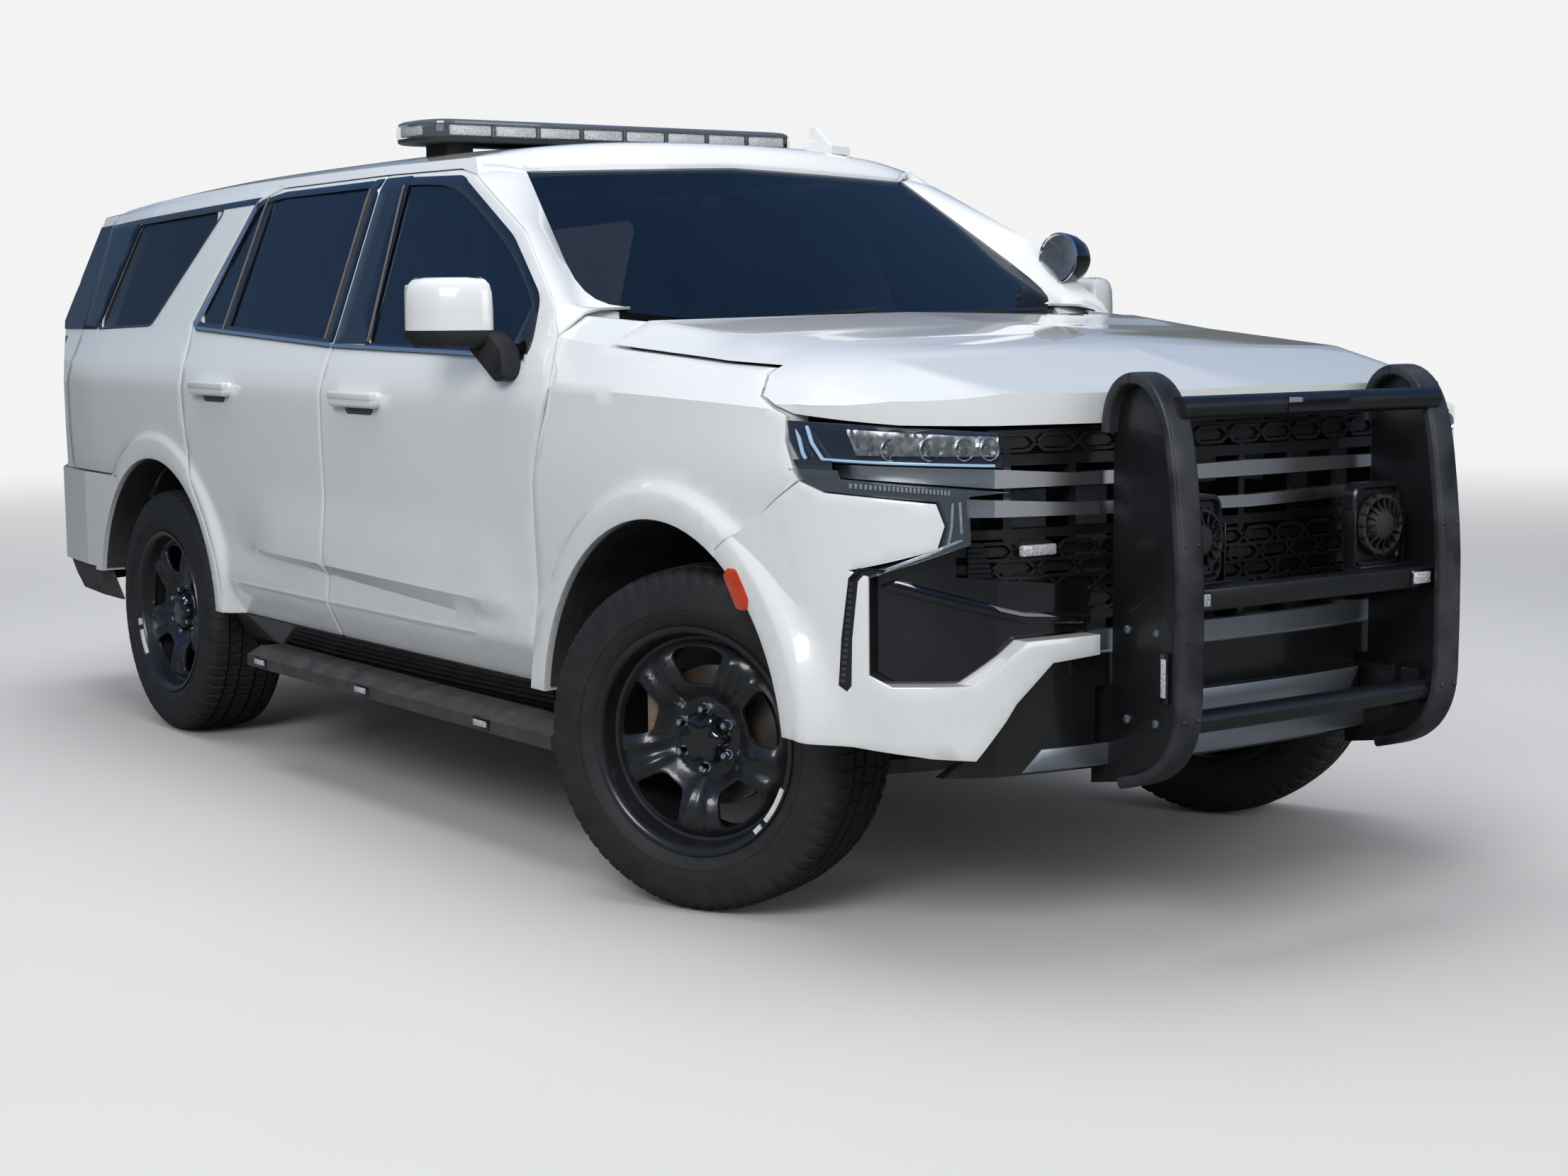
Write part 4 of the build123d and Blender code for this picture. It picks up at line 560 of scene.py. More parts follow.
# %% Surfaces
ROWS = (372, 560, 680, 1000, 1150, 1228, 1330, 1745)
CABIN = (
    # station, half widths at ROWS, gutter x, gutter z, crown z
    (440, (915, 1003, 990, 1010, 1012, 996, 950, 790), 748, 1808, 1868),
    (1240, (926, 1013, 1000, 1018, 1020, 1003, 960, 808), 762, 1813, 1872),
    (1900, (930, 1018, 1004, 1022, 1024, 1006, 962, 812), 766, 1815, 1887),
    (2800, (928, 1014, 1002, 1020, 1022, 1004, 960, 812), 764, 1808, 1883),
    (3600, (915, 1000, 990, 1012, 1014, 994, 950, 805), 756, 1784, 1862),
    (4340, (850, 945, 940, 965, 967, 950, 905, 770), 722, 1740, 1815),
)
NOSE = (
    # station, half widths at the first four ROWS, then (x, z) of crease, cut and shoulder
    (-1000, (905, 985, 980, 995), (935, 1112), (820, 1140), (650, 1176)),
    (-480, (905, 990, 982, 1003), (975, 1176), (893, 1238), (735, 1288)),
    (0, (913, 1000, 988, 1006), (992, 1196), (918, 1275), (770, 1330)),
    (600, (917, 1004, 991, 1011), (998, 1212), (948, 1336), (840, 1396)),
)
PROUD = 1.2
ARCHES = ((-8, 404), (3079, 404))
ARCH_RADIUS = 512.0
LIP_X = 1030.2
FLARE_IN, FLARE_OUT = 573, 609
SCALLOP_REAR, SCALLOP_RUN, SCALLOP_RISE, SCALLOP_FADE = 2459, 1853, 27, 230

cabin_s = [row[0] for row in CABIN]
cabin_widths = []
for k in range(len(ROWS)):
    widths = [row[1][k] for row in CABIN]
    cabin_widths.append((curve(cabin_s, widths), line(cabin_s, widths)))
gutter_x, gutter_z, crown_z = [curve(cabin_s, [row[k] for row in CABIN]) for k in (2, 3, 4)]
nose_s = [row[0] for row in NOSE]
nose_corners = []
for k in range(7):
    corners = [(row[1][k], ROWS[k]) if k < 4 else row[k - 2] for row in NOSE]
    xs, zs = [x for x, z in corners], [z for x, z in corners]
    nose_corners.append(((curve(nose_s, xs), line(nose_s, xs)), curve(nose_s, zs)))


def both_ways(zs, xs, z):
    """The smooth curve, or the straight run where that stands further out."""
    return max(curve(zs, xs)(z), float(np.interp(z, zs, xs)))


def arch_flare(s, z, x):
    """Swells the side out over the wheel arches."""
    for centre_s, centre_z in ARCHES:
        far = math.hypot(s - centre_s, z - centre_z)
        if far < FLARE_OUT and x < LIP_X:
            x += (LIP_X - x) * smooth((FLARE_OUT - far) / (FLARE_OUT - FLARE_IN))
    return x


def scallop(s, z):
    """Height of the fold that rises over the sill, deepest at the front door's foot."""
    along = min(1.0, max(0.0, (SCALLOP_REAR - s) / SCALLOP_RUN))
    fold, band = 681 - 32 * along, 12 + 46 * along
    rise = SCALLOP_RISE * smooth(along * 5) * smooth((s - 590) / 280)
    if z >= fold:
        return rise * smooth(max(0.0, 1 - (z - fold) / SCALLOP_FADE))
    return rise * max(0.0, 1 - (fold - z) / band)


def cabin_x(s, z):
    """Half width of the body behind the wing's cut."""
    widths = [max(one(s), two(s)) for one, two in cabin_widths]
    if z <= ROWS[2]:
        x = float(np.interp(z, ROWS[:3], widths[:3]))
    elif z <= ROWS[5]:
        x = both_ways(ROWS[2:6], widths[2:6], z)
    else:
        x = float(np.interp(z, ROWS[5:] + (gutter_z(s),), widths[5:] + [gutter_x(s)]))
    return arch_flare(s, z, x)


def nose_base(s, z):
    """Half width of the wings and the bumper's sides without the flare."""
    xs = [max(a(s), b(s)) for (a, b), _ in nose_corners]
    zs = [c(s) for _, c in nose_corners]
    if z <= ROWS[2]:
        return float(np.interp(z, zs[:3], xs[:3]))
    if z <= zs[4]:
        return both_ways(zs[2:5], xs[2:5], z)
    return float(np.interp(z, zs[4:7], xs[4:7]))


def nose_x(s, z):
    """Half width of the wings."""
    return arch_flare(s, z, nose_base(s, z))


def bumper_swell(s, z, x):
    """Swells the bumper out to its arch lip, over a band that widens downwards."""
    centre_s, centre_z = ARCHES[0]
    far = math.hypot(s - centre_s, z - centre_z)
    angle = math.degrees(math.atan2(z - centre_z, centre_s - s))
    outer = FLARE_OUT + 40 * smooth((62 - angle) / 40)
    share = (outer - far) / (outer - FLARE_IN)
    return x + (LIP_X - x) * smooth(share) if share > 0 and x < LIP_X else x


def roof_height(s, x):
    """Height of the roof at a point in plan."""
    g, low, top = gutter_x(s), gutter_z(s), crown_z(s)
    rise = top - low
    xs = [-0.36 * g, 0, 0.36 * g, 0.72 * g, g]
    zs = [low + 0.92 * rise, top, low + 0.92 * rise, low + 0.60 * rise, low]
    return both_ways(xs, zs, abs(x))


def arc_points(a, b, c, count):
    """Points along the arc from a through b to c."""
    rows = np.array([[b[0] - a[0], b[1] - a[1]], [c[0] - a[0], c[1] - a[1]]], float) * 2
    sums = np.array([p[0]**2 - a[0]**2 + p[1]**2 - a[1]**2 for p in (b, c)], float)
    x, y = np.linalg.solve(rows, sums)
    radius = math.hypot(a[0] - x, a[1] - y)
    start, end = [math.atan2(p[1] - y, p[0] - x) for p in (a, c)]
    span = (end - start + math.pi) % (2 * math.pi) - math.pi
    angles = [start + span * k / count for k in range(count)]
    return [(x + radius * math.cos(angle), y + radius * math.sin(angle)) for angle in angles]


# The nose's plan from its middle round to the side, with the length along it
PLAN = arc_points((0, -940), (353, -921.3), (700, -866), 30)
PLAN += arc_points((700, -866), (905, -705), (1003, -470), 30)
PLAN += [(1003, -470), (1018, -355), (1033, -240), (1034, -100)]
PLAN_X, PLAN_S = np.array(PLAN).T
PLAN_U = np.concatenate([[0], np.cumsum(np.hypot(np.diff(PLAN_X), np.diff(PLAN_S)))])
CORNER_S, SIDE_S = -700, -470
plan_x, plan_s, plan_side_x = line(PLAN_U, PLAN_X), line(PLAN_U, PLAN_S), line(PLAN_S, PLAN_X)
around_side = line(PLAN_S, PLAN_U)


def around(x):
    """Length along the nose's plan to a point that far across."""
    return math.copysign(float(np.interp(abs(x), PLAN_X, PLAN_U)), x)


def nose_point(u, z, depth=0.0):
    """A point of the upright front face, sunk by depth."""
    far = abs(u)
    x, s = plan_x(far), plan_s(far)
    ahead, back = plan_x(far + 5) - plan_x(far - 5), plan_s(far + 5) - plan_s(far - 5)
    if far < 5:
        ahead, back = 1.0, 0.0
    length = math.hypot(ahead, back)
    lift = PROUD - depth
    s -= lift * ahead / length
    x += lift * back / length
    if s > CORNER_S:
        x = bumper_swell(s, z, min(x, nose_base(s, z) + lift) - lift) + lift
    return mm(math.copysign(x, u) if u else 0, s, z)


def side_place(width):
    """Lays (station, height) on the left side."""
    return lambda s, z, depth=0.0: mm(width(s, z) + PROUD - depth, s, z)


def proud_by(place, lift):
    """The same surface, raised."""
    return lambda u, v, depth=0.0: place(u, v, depth - lift)


cabin_side = side_place(cabin_x)
nose_side = side_place(lambda s, z: min(nose_x(s, z), plan_side_x(s)) if s < SIDE_S else nose_x(s, z))


def arch_run(arch, start, end, count=26, radius=ARCH_RADIUS):
    """Points round a wheel arch between two angles in degrees."""
    centre_s, centre_z = ARCHES[arch]
    angles = [math.radians(start + (end - start) * k / count) for k in range(count + 1)]
    return [(centre_s + radius * math.cos(angle), centre_z + radius * math.sin(angle)) for angle in angles]


def flare_folds(arch, start, end, radii=(540, 573, 582, 591, 600, 609)):
    """Fold lines round a wheel arch."""
    return [arch_run(arch, start, end, 40, radius) for radius in radii]


print("nose plan is", round(PLAN_U[-1]), "mm round from its middle")

# %% [markdown]
# ## Painted panels
# Thin painted sheets lie about a millimetre proud of the CAD doors, wings and quarters. They carry the
# shoulder line, the scallop above the sill and the flares over the wheels.

# %% Skins off the CAD
def skin_from(name, node, planes, faces_out, look_name, body, lift, sharp=20.0):
    """Lifts a thin sheet off the outer faces of a CAD node between cutting planes."""
    bm = bmesh.new()
    bm.from_mesh(nodes[node].data)
    bmesh.ops.transform(bm, matrix=nodes[node].matrix_world, verts=bm.verts)
    bmesh.ops.remove_doubles(bm, verts=bm.verts, dist=1e-5)
    for point, normal in planes:
        bmesh.ops.bisect_plane(bm, geom=list(bm.verts) + list(bm.edges) + list(bm.faces), plane_co=point,
                               plane_no=normal, clear_outer=True)
    bm.normal_update()
    bmesh.ops.delete(bm, geom=[f for f in bm.faces if not faces_out(f.normal)], context="FACES")
    bm.normal_update()
    moves = {v: v.normal.copy() for v in bm.verts}
    for v, normal in moves.items():
        v.co += normal * lift / 1000
    bmesh.ops.solidify(bm, geom=list(bm.faces), thickness=0.0012)
    bmesh.ops.recalc_face_normals(bm, faces=bm.faces)
    return finish(bm, name, look_name, body, sharp)


# %% Doors, wings and quarters
FRONT_DOOR = [(599, 455), (575, 967), (505, 1203), (548, 1330), (600, 1408), (855, 1596), (1225, 1762),
              (1330, 1781), (1768, 1785), (1768, 455)]
REAR_DOOR = [(1773, 455), (1773, 1785), (2500, 1779), (2640, 1738), (2878, 1362), (2830, 1240), (2812, 1110),
             (2790, 966), (2745, 860), (2640, 740), (2560, 620), (2508, 455)]
FRONT_WINDOW = [(660, 1292), (690, 1417), (913, 1572), (1290, 1746), (1626, 1756), (1556, 1306)]
REAR_WINDOW = [(1822, 1316), (1822, 1756), (2456, 1750), (2610, 1730), (2830, 1366)]
QUARTER_WINDOW = [(3243, 1358), (2892, 1728), (3634, 1704), (3775, 1346)]
SOFT_WINDOW = [(664, 1301), (676, 1350), (694, 1398), (714, 1422), (760, 1457), (830, 1508), (905, 1554),
               (985, 1595), (1070, 1636), (1160, 1677), (1240, 1709), (1310, 1730), (1380, 1742),
               (1460, 1748), (1612, 1753), (1621, 1746), (1556, 1314), (1546, 1307), (1100, 1299)]
WING = [(594, 455), (570, 967), (500, 1203), (543, 1332), (578, 1382), (352, 1366), (322, 1306), (-112, 1272),
        (-283, 1264), (-338, 1204), (-466, 1166), (-474, 1112), (-530, 1032), (-262, 866)]
QUARTER = [(2513, 455), (2565, 618), (2645, 737), (2750, 857), (2795, 965), (2817, 1109), (2835, 1238),
           (2883, 1362), (2645, 1741), (2600, 1758), (2520, 1796), (3600, 1776), (3955, 1748), (3955, 844),
           (3400, 844)]
SCALLOP_FOLDS = [[(600, 649), (2459, 681), (2500, 681)], [(600, 591), (2459, 669), (2500, 669)]]
SCALLOP_END = [[(s, 562), (s, 900)] for s in range(630, 880, 35)]
NOSE_CREASES = [[(s, nose_corners[k][1](s)) for s in range(-520, 620, 40)] for k in (1, 2, 4, 5)]
FRONT_BODIES = ("front_door_left_body", "front_door_right_body")
REAR_BODIES = ("rear_door_left_body", "rear_door_right_body")
ROOT = ("vehicle", "vehicle")
PAINTED = ("white_paint", ROOT)


def side_creases(first, last, heights=(560, 680, 1228, 1330, 1745)):
    """Fold lines along the side between two stations."""
    return [[(first, z), (last, z)] for z in heights]


door_side = side_place(lambda s, z: cabin_x(s, z) + scallop(s, z))
front_skin, rear_skin = [rounded(inset(facing(door), -0.5), 14, 3) for door in (FRONT_DOOR, REAR_DOOR)]
pair(panel, "front_door_paint", "white_paint", FRONT_BODIES, front_skin, door_side, holes=[SOFT_WINDOW],
     creases=side_creases(480, 1790)[2:] + SCALLOP_FOLDS + SCALLOP_END, grid=34, sharp=9)
pair(panel, "rear_door_paint", "white_paint", REAR_BODIES, rear_skin, door_side,
     holes=[rounded(REAR_WINDOW, 28, 4)], grid=34, sharp=9,
     creases=side_creases(1760, 2900)[2:] + SCALLOP_FOLDS + flare_folds(1, 90, 180))
pair(panel, "wing_paint", *PAINTED, WING + arch_run(0, 119.7, 5.7), nose_side,
     creases=NOSE_CREASES + flare_folds(0, 0, 125), grid=30, sharp=27, hem=2.5)
pair(panel, "quarter_paint", *PAINTED, QUARTER + arch_run(1, 51.2, 174.3), cabin_side,
     holes=[rounded(QUARTER_WINDOW, 30, 4)], creases=side_creases(2500, 3960) + flare_folds(1, 40, 180),
     grid=32, sharp=27)


# %% Roof, pillars and bonnet
def screen_point(x, z):
    """Station of the screen's surface."""
    return 660 + 1.627 * (z - 1421) - 130 + 130 * (x / 810) ** 2


def brow(x):
    """Station and height of the glass's top edge."""
    z = 1800 - 25 * abs(x) / 659
    return screen_point(x, z), z


def roof_place(s, x, depth=0.0):
    """The roof, curling down to the glass at its front."""
    start, low = brow(x)
    high = roof_height(s, x)
    near = max(0.0, 1 - (s - start) / 110)
    high -= (high - low - 3) * near ** 2.2 if high > low else 0
    return mm(x, s, high + PROUD - depth)


roof_sides = [(s, gutter_x(s) - 4) for s in [*range(1300, 3950, 80), 3984]]
roof_front = [(brow(x)[0] + 4, x) for x in range(-640, 650, 40)]
BROW_FOLDS = [[(brow(x)[0] + back, x) for x in range(-700, 701, 35)] for back in (20, 45, 75, 110)]
panel("roof_paint", roof_front + roof_sides + [(s, -x) for s, x in roof_sides[::-1]], roof_place,
      "white_paint", "vehicle", creases=BROW_FOLDS, grid=60, sharp=30, rim=26, replaces=["roof"])
PILLAR = [(2, 2), (598, 2), (598, 122), (190, 122), (120, 127), (70, 139), (36, 158), (12, 188), (2, 225)]
PILLAR_FOOT, PILLAR_TOP, PILLAR_RUN, PILLAR_WIDTH = 1404, 1786, 600, 120
GLASS_FOOT, GLASS_TOP = 1399, 1776
pillar_s = line([1410, 1601, 1767, 1787], [595, 851, 1223, 1330])


def pillar_place(t, w, depth=0.0):
    """The front pillar's skin between the door's edge and the glass."""
    share, z = w / PILLAR_WIDTH, PILLAR_FOOT + (PILLAR_TOP - PILLAR_FOOT) * t / PILLAR_RUN
    s = pillar_s(z)
    outer = mm(cabin_x(s, z) + 1, s, z)
    glass_z = GLASS_FOOT + (GLASS_TOP - GLASS_FOOT) * t / PILLAR_RUN
    glass_x = 818 - 0.425 * (glass_z - 1400)
    if share > 1:
        glass_x -= PILLAR_WIDTH * (share - 1)
        return mm(glass_x, screen_point(glass_x, glass_z) - 3 + depth, glass_z + depth * 0.3)
    inner = mm(glass_x, screen_point(glass_x, glass_z) - 3, glass_z)
    lift = 0.012 * 4 * share * (1 - share) + (PROUD - depth) / 1000
    return outer.lerp(inner, share) + Vector((0.42, -0.62, 0.66)) * lift


def pillar_foot_place(t, w, depth=0.0):
    """The skin that joins the pillar to the top of the wing."""
    share = w / PILLAR_WIDTH
    x, z = [float(np.interp(share, (0, 0.55, 1, 1.9), row))
            for row in ((948, 862, 806, 700), (1333, 1389, 1399, 1401))]
    low = mm(x, 541 + 20 * share, z)
    return low.lerp(pillar_place(2, w), t / 100) + Vector((0.35, -0.45, 0.82)) * (3.0 - depth) / 1000


pair(panel, "front_pillar_foot", *PAINTED, [(0, 2), (100, 2), (100, 215), (0, 215)], pillar_foot_place,
     grid=20, hem=2, rim=9, sharp=30)
pair(panel, "front_pillar_skin", *PAINTED, PILLAR, pillar_place, grid=30, hem=3, rim=10, sharp=25)
skin_from("bonnet_paint", "bonnet", [], lambda n: n.z > 0.08 or n.y < -0.4, "white_paint", "bonnet_body",
          PROUD, sharp=32)

# %% Front bumper
BUMPER_FRONT = [(983, 480), (835, 450), (757, 444), (675, 562), (587, 644), (470, 654), (470, 697),
                (648, 693), (762, 604), (892, 601), (922, 624), (922, 834), (946, 846), (824, 893),
                (812, 942), (826, 988), (970, 1008)]
BUMPER_SIDE = [(-530, 1031), (-262, 864)] + arch_run(0, 119.7, 171.4, 24)


def on_side(points):
    """Points of the nose's side as lengths round its plan."""
    return [(around_side(s), z) for s, z in points]


def on_front(points):
    """Points of the front, from across and height, as lengths round its plan."""
    return [(around(x), z) for x, z in points]


bumper_folds = [on_side(run) for run in flare_folds(0, 118, 178, (540, 573, 582, 592, 603, 616, 630, 648))]
pair(panel, "front_bumper_paint", *PAINTED, on_front(BUMPER_FRONT) + on_side(BUMPER_SIDE), nose_point,
     creases=bumper_folds, grid=26, sharp=24, rim=10)

# %% Dark linings just inside the wheel arches
LINING_RADIUS, LINING_X = 508.5, 902
for name, arch, first, last in (("front", 0, 7, 170), ("rear", 1, 12, 173)):
    run = [mm(LINING_X, s, z) for s, z in arch_run(arch, first, last, 60, LINING_RADIUS)]
    pair(sweep, name + "_arch_lining", "grained_plastic", ROOT, run, bar(1.5, 0, 112, 1, 3), up=(1, 0, 0))

# %% [markdown]
# ## Windows and side trim
# Black surrounds, bright belt strips, the pillar strips and the roof ditch mouldings.

# %% Window trim
def on_cabin(name, look_name, bodies, outline, lift, corner=0, steps=3, hem=1.5, **options):
    """A sheet raised from the cabin's side, on both sides."""
    outline = facing(outline)
    pair(panel, name, look_name, bodies, rounded(outline, corner, steps) if corner else outline,
         proud_by(cabin_side, lift), hem=hem, **options)


TOP_FOLD = [[(600, 1745), (3990, 1745)]]
BANDS = (
    # name, window, band's width, bodies, another opening
    ("front_window_band", FRONT_WINDOW, 20, FRONT_BODIES, SOFT_WINDOW),
    ("rear_window_band", REAR_WINDOW, 20, REAR_BODIES, None),
    ("quarter_window_band", QUARTER_WINDOW, 7, ROOT, None),
)
for name, window, by, bodies, hole in BANDS:
    edge = rounded(facing(window), 28, 4)
    on_cabin(name, "gloss_black", bodies, inset(edge, -by), 1.6, creases=TOP_FOLD, grid=40, rim=7,
             holes=[inset(facing(hole) if hole else edge, 1.5)])
glass_foot = (mm(0, 0, 1341), Vector((0, 0, -1)))
glass_top = (mm(0, 0, 1722), Vector((0, 0, 1)))
pillar_planes = [(mm(0, 3640, 0), Vector((0, -1, 0))), glass_foot, (mm(0, 2892, 1751), Vector((0, 38, 1063)))]
left_skin = skin_from("rear_pillar_glass_left", "body_side_left", pillar_planes,
                      lambda n: n.x * 0.8 + n.y * 0.6 > 0.3, "glass_black", "vehicle", 3.0)
mirror_piece(left_skin, "rear_pillar_glass_right", "glass_black", "vehicle")
skin_from("tailgate_glass_frame", "tailgate", [glass_foot, glass_top], lambda n: n.y * 0.9 + n.z * 0.4 > 0.3,
          "glass_black", "tailgate_body", 1.5)
REAR_PILLAR = [(3779, 1341), (3953, 1341), (3953, 1698), (3660, 1708), (3636, 1704), (3777, 1346)]
TOP_BAND = [(2652, 1737), (2900, 1730), (3640, 1706), (3950, 1696), (3950, 1712), (3640, 1725), (2900, 1751),
            (2622, 1760)]
BRIGHT = [(2824, 1352), (2866, 1364), (2646, 1727), (2622, 1727)]
on_cabin("quarter_pillar_glass", "glass_black", ROOT, REAR_PILLAR, 2.4, grid=40, rim=7)
on_cabin("quarter_top_band", "gloss_black", ROOT, TOP_BAND, 1.8, creases=TOP_FOLD, grid=40, rim=6)
on_cabin("rear_pillar_bright", "chrome", REAR_BODIES, BRIGHT, 3.4, 8, grid=40, hem=2.5, rim=7)
STRIPS = (
    # name, outline, bodies, lift
    ("front_pillar_strip", [(1552, 1305), (1766, 1305), (1766, 1779), (1600, 1779)], FRONT_BODIES, 2.4),
    ("rear_pillar_strip", [(1775, 1305), (1830, 1311), (1830, 1778), (1775, 1779)], REAR_BODIES, 2.4),
    ("rear_division_bar", [(2562, 1336), (2600, 1340), (2552, 1760), (2514, 1760)], REAR_BODIES, -1.0),
    ("mirror_sail", [(648, 1284), (744, 1290), (728, 1330), (700, 1408)], FRONT_BODIES, 2.4),
)
for name, outline, bodies, lift in STRIPS:
    on_cabin(name, "gloss_black", bodies, outline, lift, 6, creases=TOP_FOLD, grid=60, rim=6)
FLAT, THIN = bar(8, -2, 3, 2.5, 2), bar(5, -2, 2.4, 1.6, 2)
BELTS = (
    # name, path, section, look, bodies
    ("front_belt", [(650, 1279), (1100, 1287), (1766, 1298)], FLAT, "chrome", FRONT_BODIES),
    ("rear_belt", [(1775, 1299), (2300, 1322), (2815, 1345), (2852, 1362), (2800, 1455), (2625, 1745)], FLAT,
     "chrome", REAR_BODIES),
    ("front_channel", [(1550, 1312), (1621, 1752)], THIN, "channel_grey", FRONT_BODIES),
    ("rear_channel", [(1834, 1318), (1834, 1752)], THIN, "channel_grey", REAR_BODIES),
    ("division_channel", [(2606, 1342), (2558, 1758)], THIN, "channel_grey", REAR_BODIES),
)
for name, path, section, look_name, bodies in BELTS:
    run = [proud_by(cabin_side, 3.0)(s, z) for s, z in dense(path, 40, closed=False)]
    pair(sweep, name, look_name, bodies, run, section, up=(1, 0, 0.25))
ditch = [mm(gutter_x(s) - 12, s, gutter_z(s) + 1) for s in range(1330, 3960, 60)]
pair(sweep, "roof_ditch", "grained_plastic", ROOT, ditch, bar(5, -6, 2, 2, 2))
SPOILER = [(-70, -8), (-74, -2), (-66, 4), (10, 13), (44, 12), (44, -12), (0, -16)]
sweep("rear_spoiler", [mm(x, 4036, roof_height(4000, x) - 6) for x in range(-600, 601, 50)], SPOILER,
      "white_paint", "tailgate_body", sharp=35)

# %% Mirrors, handles and running boards
SIDES = (("left", 1), ("right", -1))
HEAD = rounded([(1012, 722), (1092, 738), (1160, 786), (1189, 850), (1187, 916), (1120, 906), (1020, 862)],
               40, 5)
CAP_LEVELS = ((1347, 0.5), (1400, 1), (1440, 3), (1462, 9), (1474, 20), (1480, 38))
BASE_LEVELS = ((1303, 30), (1310, 16), (1322, 6), (1340, 1), (1347, 0))
ARM = rounded([(655, 1226), (702, 1216), (835, 1296), (842, 1345), (735, 1345), (662, 1300)], 14, 3)
MIRROR_GLASS = ((1030, 868, 1325), (1178, 918, 1325), (1178, 916, 1462), (1030, 866, 1466))
BOARD_LAMPS = (801, 1502, 2196)
for side, sign in SIDES:
    body = f"front_door_{side}_body"
    flip = [(sign * x, s) for x, s in HEAD]
    stack("mirror_cap_" + side, flip, CAP_LEVELS, "white_cap", body, replaces=["mirror_" + side])
    stack("mirror_shell_" + side, flip, BASE_LEVELS, "grained_plastic", body)
    slab("mirror_arm_" + side, ARM, *sorted((sign * 985, sign * 1042)), "grained_plastic", body, edge=9)
    bm = bmesh.new()
    loft(bm, [[bm.verts.new(mm(sign * x, s + by, z)) for x, s, z in MIRROR_GLASS] for by in (1.2, -4)])
    bmesh.ops.recalc_face_normals(bm, faces=bm.faces)
    finish(bm, "mirror_glass_" + side, "mirror_glass", body)
for end, s, z, bodies in (("front", 1520, 1152, FRONT_BODIES), ("rear", 2546, 1160, REAR_BODIES)):
    # Under each grip a flat dark sheet lies on the door: painted shade of the scoop's recess, which is not
    # cut into the door
    scoop_shade = [(s - 92, z - 42), (s + 80, z - 42), (s + 84, z + 6), (s - 96, z + 6)]
    on_cabin(end + "_handle_scoop", "lamp_dark", bodies, scoop_shade, 0.5, 30, 5, grid=40, hem=1.0, rim=5)
    pair(blocks, end + "_handle_grip", "white_cap", bodies, [(1034, 1054, s - 141, s + 141, z - 3, z + 23)],
         edge=8, segments=4)
for side, sign in SIDES:
    ribs = [(sign * x, sign * (x + 9), 470, 2270, 371, 377) for x in range(938, 1000, 14)]
    bezels = [(sign * 1026, sign * 1050, s - 46, s + 46, 320, 352) for s in BOARD_LAMPS]
    lamps = [(sign * 1030, sign * 1052.5, s - 34, s + 34, 328, 344) for s in BOARD_LAMPS]
    blocks("board_ribs_" + side, ribs, "grained_plastic", "vehicle", edge=2)
    blocks("board_lamp_bezels_" + side, bezels, "gloss_black", "vehicle", edge=4)
    blocks("board_lamps_" + side, lamps, "led_array", "vehicle", edge=2)
MARKER = rounded([(-316, 831), (-300, 812), (-352, 742), (-392, 742), (-398, 768), (-350, 831)], 10, 3)
pair(panel, "side_marker", "amber_lens", ROOT, MARKER, proud_by(nose_side, 2.5), grid=30, hem=2, rim=8)

# %% [markdown]
# ## Wheels and tyres
# The steel wheel has five windows with raised ribs between them. The tyre has four grooves, notched shoulders
# and marks on its wall. One wheel is made at the left rear's own centre and carried to the four corners.

# %% Wheels
CORNERS = (("front_left", 1, True), ("front_right", -1, True), ("rear_left", 1, False),
           ("rear_right", -1, False))
PARKED_STEER = math.radians(24.5)
AXLE_Z, WHEELBASE, HALF_TRACK, KINGPIN_X = 404, 3071, 870, 800


def corner_place(sign, front):
    """Puts a piece from the left wheel's own frame at one corner."""
    flip = Matrix.Diagonal((sign, 1, 1, 1))
    if front:
        return Matrix.Translation(mm(sign * KINGPIN_X, 0, AXLE_Z)) @ Matrix.Rotation(PARKED_STEER, 4, "Z") \
            @ Matrix.Translation((sign * (HALF_TRACK - KINGPIN_X) / 1000, 0, 0)) @ flip
    return Matrix.Translation(mm(sign * HALF_TRACK, WHEELBASE, AXLE_Z)) @ flip


def at_corners(name, bm, look_name, replaces="", sharp=30.0, front_turn=0.0):
    """Copies a piece from the wheel's frame to its four corners."""
    for corner, sign, front in CORNERS:
        copy = bm.copy()
        if front and front_turn:
            bmesh.ops.rotate(copy, matrix=Matrix.Rotation(math.radians(front_turn), 3, "X"), verts=copy.verts)
        bmesh.ops.transform(copy, matrix=corner_place(sign, front), verts=copy.verts)
        if sign < 0:
            bmesh.ops.reverse_faces(copy, faces=copy.faces)
        finish(copy, f"{name}_{corner}", look_name, f"wheel_{corner}_body", sharp,
               [f"{replaces}_{corner}"] if replaces else ())
    bm.free()


RIM = [(-127, 268), (-122, 269), (-113, 254), (-60, 253), (-40, 232), (70, 232), (90, 253), (112, 254.3),
       (119, 262), (121, 268), (124, 269.5), (127, 268), (127, 262), (123, 254), (112, 248), (94, 246),
       (80, 240), (74, 222), (-44, 222), (-66, 244), (-120, 244), (-127, 256), (-127, 268)]
FACE_R = (44, 70, 88, 104, 128, 150, 180, 205, 222, 236)
FACE_X = (56, 56, 52, 62, 82, 93, 98, 97, 88, 76)
SPOKE_STEP = 72
WINDOW = ((134, -15), (214, -20), (219, -8), (219, 8), (214, 20), (134, 15), (130, 0))
face_line = curve(FACE_R, FACE_X)


